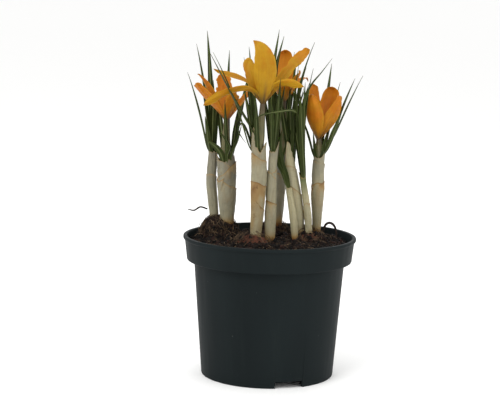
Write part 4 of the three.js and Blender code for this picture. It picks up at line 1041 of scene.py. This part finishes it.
def make_leaves(shoot, seed):
    """Leaf bundle of a shoot with its stalk."""
    skins = [leaf_skin(shoot, leaf, seed + number) for number, leaf in enumerate(LEAVES[shoot])]
    piece(f"blades_{shoot}", skins + [stalk_skin(shoot)], M["leaf"], "leaf", f"leaves_{shoot}", crease=60)


# ------------------------------------------------------------------ flowers
def tepal_width(s, point, peak):
    """Share of full width: a sine rise from the claw to its peak, then a fall to the tip that is
    rounded for point 0 and drawn out for point 1."""
    rise = 0.16 + 0.84 * np.sin(np.pi / 2 * np.minimum(1, s / peak)) ** 1.25
    start = 0.8 * peak
    along = np.maximum(0, (s - start) / (1 - start))
    fall = np.clip(1 - along ** (2.4 - 0.7 * point), 0, 1) ** (0.62 + 0.3 * point)
    return rise * np.maximum(fall, 0.05)


def nibbled(s, ragged, seed, edge):
    """Share of the width left at one edge of a tepal: bites and notches from a third of the way up."""
    bites = 0.22 * np.clip(value_noise(s * 14, 0 * s + edge, 1.0, seed + edge) + 0.15, 0, 1)
    notches = 0.14 * np.clip(value_noise(s * 31, 0 * s + edge, 1.0, seed + edge + 1), 0, 1)
    return 1 - ragged * smooth(0.35, 0.6, s) * (bites + notches)


def tepal_path(foot, half, tip, out, rise, s):
    """Cubic path from the foot through the half-way point to the tip. It leaves the foot upwards
    and a little outwards, more steeply for a greater rise."""
    middle, end = np.array(half, float), np.array(tip, float)
    reach = np.linalg.norm(middle - foot) + np.linalg.norm(end - middle)
    leaving = 0.077 * out + 0.176 * rise * np.array([0, 0, 1.0])
    first = foot + 0.5 * reach * leaving + 0.17 * (middle - foot)
    second = (8 * middle - foot - 3 * first - end) / 3
    t = s[:, None]
    return (1 - t) ** 3 * foot + 3 * t * (1 - t) ** 2 * first + 3 * t**2 * (1 - t) * second + t**3 * end


def tepal_skin(flower, number, rows=64, columns=25, thick=0.24):
    """Tepal: each station of its path is an arc, tight at the claw and of the cup radius further up.
    Its surface has soft lengthwise ridges and creases and a keel, its edges wave a little, and
    ragged ones are nibbled. The inner face is turned to the flower's axis, the outer away from it."""
    facts = FLOWERS[flower]
    side, half, tip, width, cup, twist, point, peak, ragged, *rise = facts["tepals"][number]
    seed = 1000 + 10 * number + len(flower)
    rng = np.random.default_rng(seed)
    a = math.radians(side)
    out = np.array([math.cos(a), math.sin(a), 0.0])
    start = OUTER_START if number % 2 == 0 else INNER_START
    foot = np.array(facts["throat"], float) + out * start - (0, 0, SINK)
    s = np.linspace(0, 1, rows)
    path = tepal_path(foot, half, tip, out, rise[0] if rise else 1, s)
    tangent, normal, across = carried(path, -out)
    turn = (math.radians(twist) * s**1.5)[:, None]
    n = normal * np.cos(turn) - across * np.sin(turn)
    b = np.cross(tangent, n)
    t, c = s[:, None], np.linspace(-1, 1, columns)
    bend = CLAW_RADIUS + (cup - CLAW_RADIUS) * smooth(0, 0.4, t)
    base = width * tepal_width(s, point, peak) / 2
    left, right = base * nibbled(s, ragged, seed, 3), base * nibbled(s, ragged, seed, 7)
    arc = np.where(c < 0, left[:, None], right[:, None]) * c / bend
    wave = 0.4 * np.abs(c) ** 3 * np.sin(9 * t + rng.uniform(0, 6) + 1.5 * np.sign(c)) * smooth(0.2, 0.6, t)
    keel = -0.15 * np.exp(-(c / 0.12) ** 2) * smooth(0, 0.15, t)
    ridges = 0.34 * smooth(0.15, 0.5, t) * value_noise(2.6 * c + 0 * t, 2.6 * t + 0 * c, 1.0, seed + 5)
    creases = 0.07 * smooth(0.1, 0.3, t) * value_noise(9 * c + 0 * t, 3 * t + 0 * c, 1.0, seed + 6)
    edge = np.sqrt(np.clip(1 - np.abs(c) ** 6, 0.12, 1))

    def layer(level):
        """Rows across the tepal, on its inner face for 1 and on its outer face for -1."""
        radial = bend - level * thick / 2 * edge
        lift = bend - radial * np.cos(arc) + wave + keel + ridges + creases
        return path[:, None] + (radial * np.sin(arc))[..., None] * b[:, None] + lift[..., None] * n[:, None]
    rings = np.concatenate([layer(1.0), layer(-1.0)[:, ::-1]], axis=1)
    u = np.concatenate([c, c[::-1], c[:1]])[None]
    # The inner face's tone above the outer face's is painted shade.
    outside, within = facts["warm"]
    tone = np.concatenate([np.full(columns, within), np.full(columns, outside)])[None]
    return skin(rings, u, t, tone=tone)


def tube_path(flower, rows):
    """Share of length, path and radius of a flower's tube, from inside its sheath to its throat."""
    facts = FLOWERS[flower]
    axis, _ = shoot_axis(facts["shoot"], np.linspace(0, 1, 200))
    length = np.concatenate([[0], np.cumsum(np.linalg.norm(np.diff(axis, axis=0), axis=1))])
    foot = axis[np.searchsorted(length, length[-1] - TUBE_DEPTH)]
    mouth, throat = axis[-1], np.array(facts["throat"], float)
    q = np.linspace(0, 1, rows)
    path = catmull([foot, mouth, (mouth + throat) / 2, throat], q)
    radii = [facts["tube"][0], *facts["tube"], THROAT_RADIUS]
    return q, path, np.interp(q * 5, range(6), radii)


def tube_skins(flower, rows=48, sides=28):
    """Round tube with a slight flute, and a thin bract wrapped half round it that ends in a point
    at BRACT_END of its length."""
    q, path, radius = tube_path(flower, rows)
    _, normal, across = carried(path, (1, 0, 0))
    a = np.linspace(0, 2 * np.pi, sides, endpoint=False)
    rings = around(path, normal, across, radius[:, None] * (1 + 0.04 * np.sin(6 * a)), a)
    tube = skin(rings, np.linspace(0, 1, sides + 1)[None], q[:, None])
    top = int(rows * BRACT_END)
    c = np.linspace(-1, 1, 13)
    open_angle = 2.3 * np.clip((q[top] - q[:top]) / q[top], 0.004, 1) ** 0.8
    angle = open_angle[:, None] * c + 3.9

    def layer(extra):
        """Rows of the bract at the tube's radius plus extra, a little looser towards its point."""
        r = radius[:top, None] + extra + 0.15 * smooth(0.6, BRACT_END, q[:top])[:, None]
        return around(path[:top], normal[:top], across[:top], r, angle)
    rings = np.concatenate([layer(0.12), layer(0.3)[:, ::-1]], axis=1)
    u = 0.5 + 0.3 * np.concatenate([c, c[::-1], c[:1]])[None]
    return [tube, skin(rings, u, 0.7 * q[:top, None])]


def rod(points, radii, sides=12, rows=24):
    """Smooth rod through points with radii spread evenly along it."""
    s = np.linspace(0, 1, rows)
    path = catmull(points, s)
    radius = np.interp(s * (len(radii) - 1), np.arange(len(radii)), radii)
    _, normal, across = carried(path, (1, 0.1, 0.05))
    angles = np.linspace(0, 2 * np.pi, sides, endpoint=False)
    rings = around(path, normal, across, radius[:, None], angles)
    return skin(rings, np.linspace(0, 1, sides + 1)[None], s[:, None])


def make_flower(flower):
    """Tepals, tube, three-armed stigma and three anthers of a flower."""
    facts = FLOWERS[flower]
    for number in range(len(facts["tepals"])):
        label = f"{flower}_{number + 1}"
        piece(f"petal_{label}", [tepal_skin(flower, number)], M["petal"], "petal", f"tepal_{label}",
              crease=50)
    piece(f"neck_{flower}", tube_skins(flower), M["tube"], "flower_tube", f"tube_{flower}")
    base = np.array(facts["throat"], float) + (0, 0, 0.3)

    def part(angle, stations, radii):
        """Rod through stations given as distance from the axis and height, turned to the angle."""
        turned = [(r * math.cos(angle), r * math.sin(angle), z) for r, z in stations]
        return rod(base + turned, radii)
    stigma, anthers = [part(0, *STYLE)], []
    for k in range(3):
        angle = math.radians(30 + 120 * k)
        stigma.append(part(angle, *STIGMA_ARM))
        anthers += [part(angle, *FILAMENT), part(angle, *ANTHER)]
    piece(f"stigma_{flower}", stigma, M["stigma"], "stamen", f"stamens_{flower}")
    piece(f"anthers_{flower}", anthers, M["anther"], "stamen")


def make_root(name):
    """Dry root strand above the peat, thinner at its ends."""
    radius, points = ROOTS[name]
    strand = rod(points, [radius * 0.9, radius, radius * 0.6], rows=40)
    piece(f"root_strand_{name}", [strand], M["root"], "root", f"root_{name}")


# ------------------------------------------------------------------ floor, light and camera
def make_floor():
    """Plain pale floor, far wider than the view."""
    bpy.ops.mesh.primitive_plane_add(size=120, location=(0, 0, 0))
    floor = bpy.context.object
    floor.name = "floor"
    floor.data.materials.append(finish("pale_floor", studio_floor))


def make_light():
    """Even white surroundings and three soft lamps that face LAMP_AIM."""
    scene = bpy.context.scene
    scene.world = bpy.data.worlds.new("studio")
    scene.world.use_nodes = True
    background = scene.world.node_tree.nodes["Background"]
    background.inputs["Color"].default_value = (1, 1, 1, 1)
    background.inputs["Strength"].default_value = 1.0
    for name, (place, size, power) in LAMPS.items():
        lamp = bpy.data.lights.new(name, "AREA")
        lamp.energy, lamp.size = power, size
        obj = bpy.data.objects.new(name, lamp)
        scene.collection.objects.link(obj)
        obj.location = place
        direction = np.array(LAMP_AIM) - np.array(place)
        obj.rotation_euler = Vector(direction.tolist()).to_track_quat("-Z", "Y").to_euler()
    scene.view_settings.view_transform = "Standard"


def make_camera():
    """Camera at its place, turned by yaw and pitch and rolled about its view line."""
    yaw, pitch, roll = (math.radians(d) for d in CAMERA_TURN)
    ahead = np.array([math.sin(yaw) * math.cos(pitch), math.cos(yaw) * math.cos(pitch), math.sin(pitch)])
    right = np.array([math.cos(yaw), -math.sin(yaw), 0])
    up = np.cross(right, ahead)
    turned = np.eye(4)
    turned[:3, 0] = math.cos(roll) * right + math.sin(roll) * up
    turned[:3, 1] = -math.sin(roll) * right + math.cos(roll) * up
    turned[:3, 2] = -ahead
    turned[:3, 3] = CAMERA_PLACE
    camera = bpy.data.cameras.new("camera")
    camera.lens, camera.sensor_width, camera.clip_start = LENS, 36, 0.01
    obj = bpy.data.objects.new("camera", camera)
    bpy.context.scene.collection.objects.link(obj)
    obj.matrix_world = Matrix(turned.tolist())
    bpy.context.scene.camera = obj


# ------------------------------------------------------------------ the whole
make_pot()
make_soil()
make_crumbs()
make_fibres()
for corm in CORMS:
    make_corm(corm)
for number, shoot in enumerate(SHOOTS):
    make_sheaths(shoot, 7 + number)
for number, shoot in enumerate(LEAVES):
    make_leaves(shoot, 100 * number)
for flower in FLOWERS:
    make_flower(flower)
for root in ROOTS:
    make_root(root)
make_floor()
make_light()
make_camera()

bpy.context.view_layer.update()
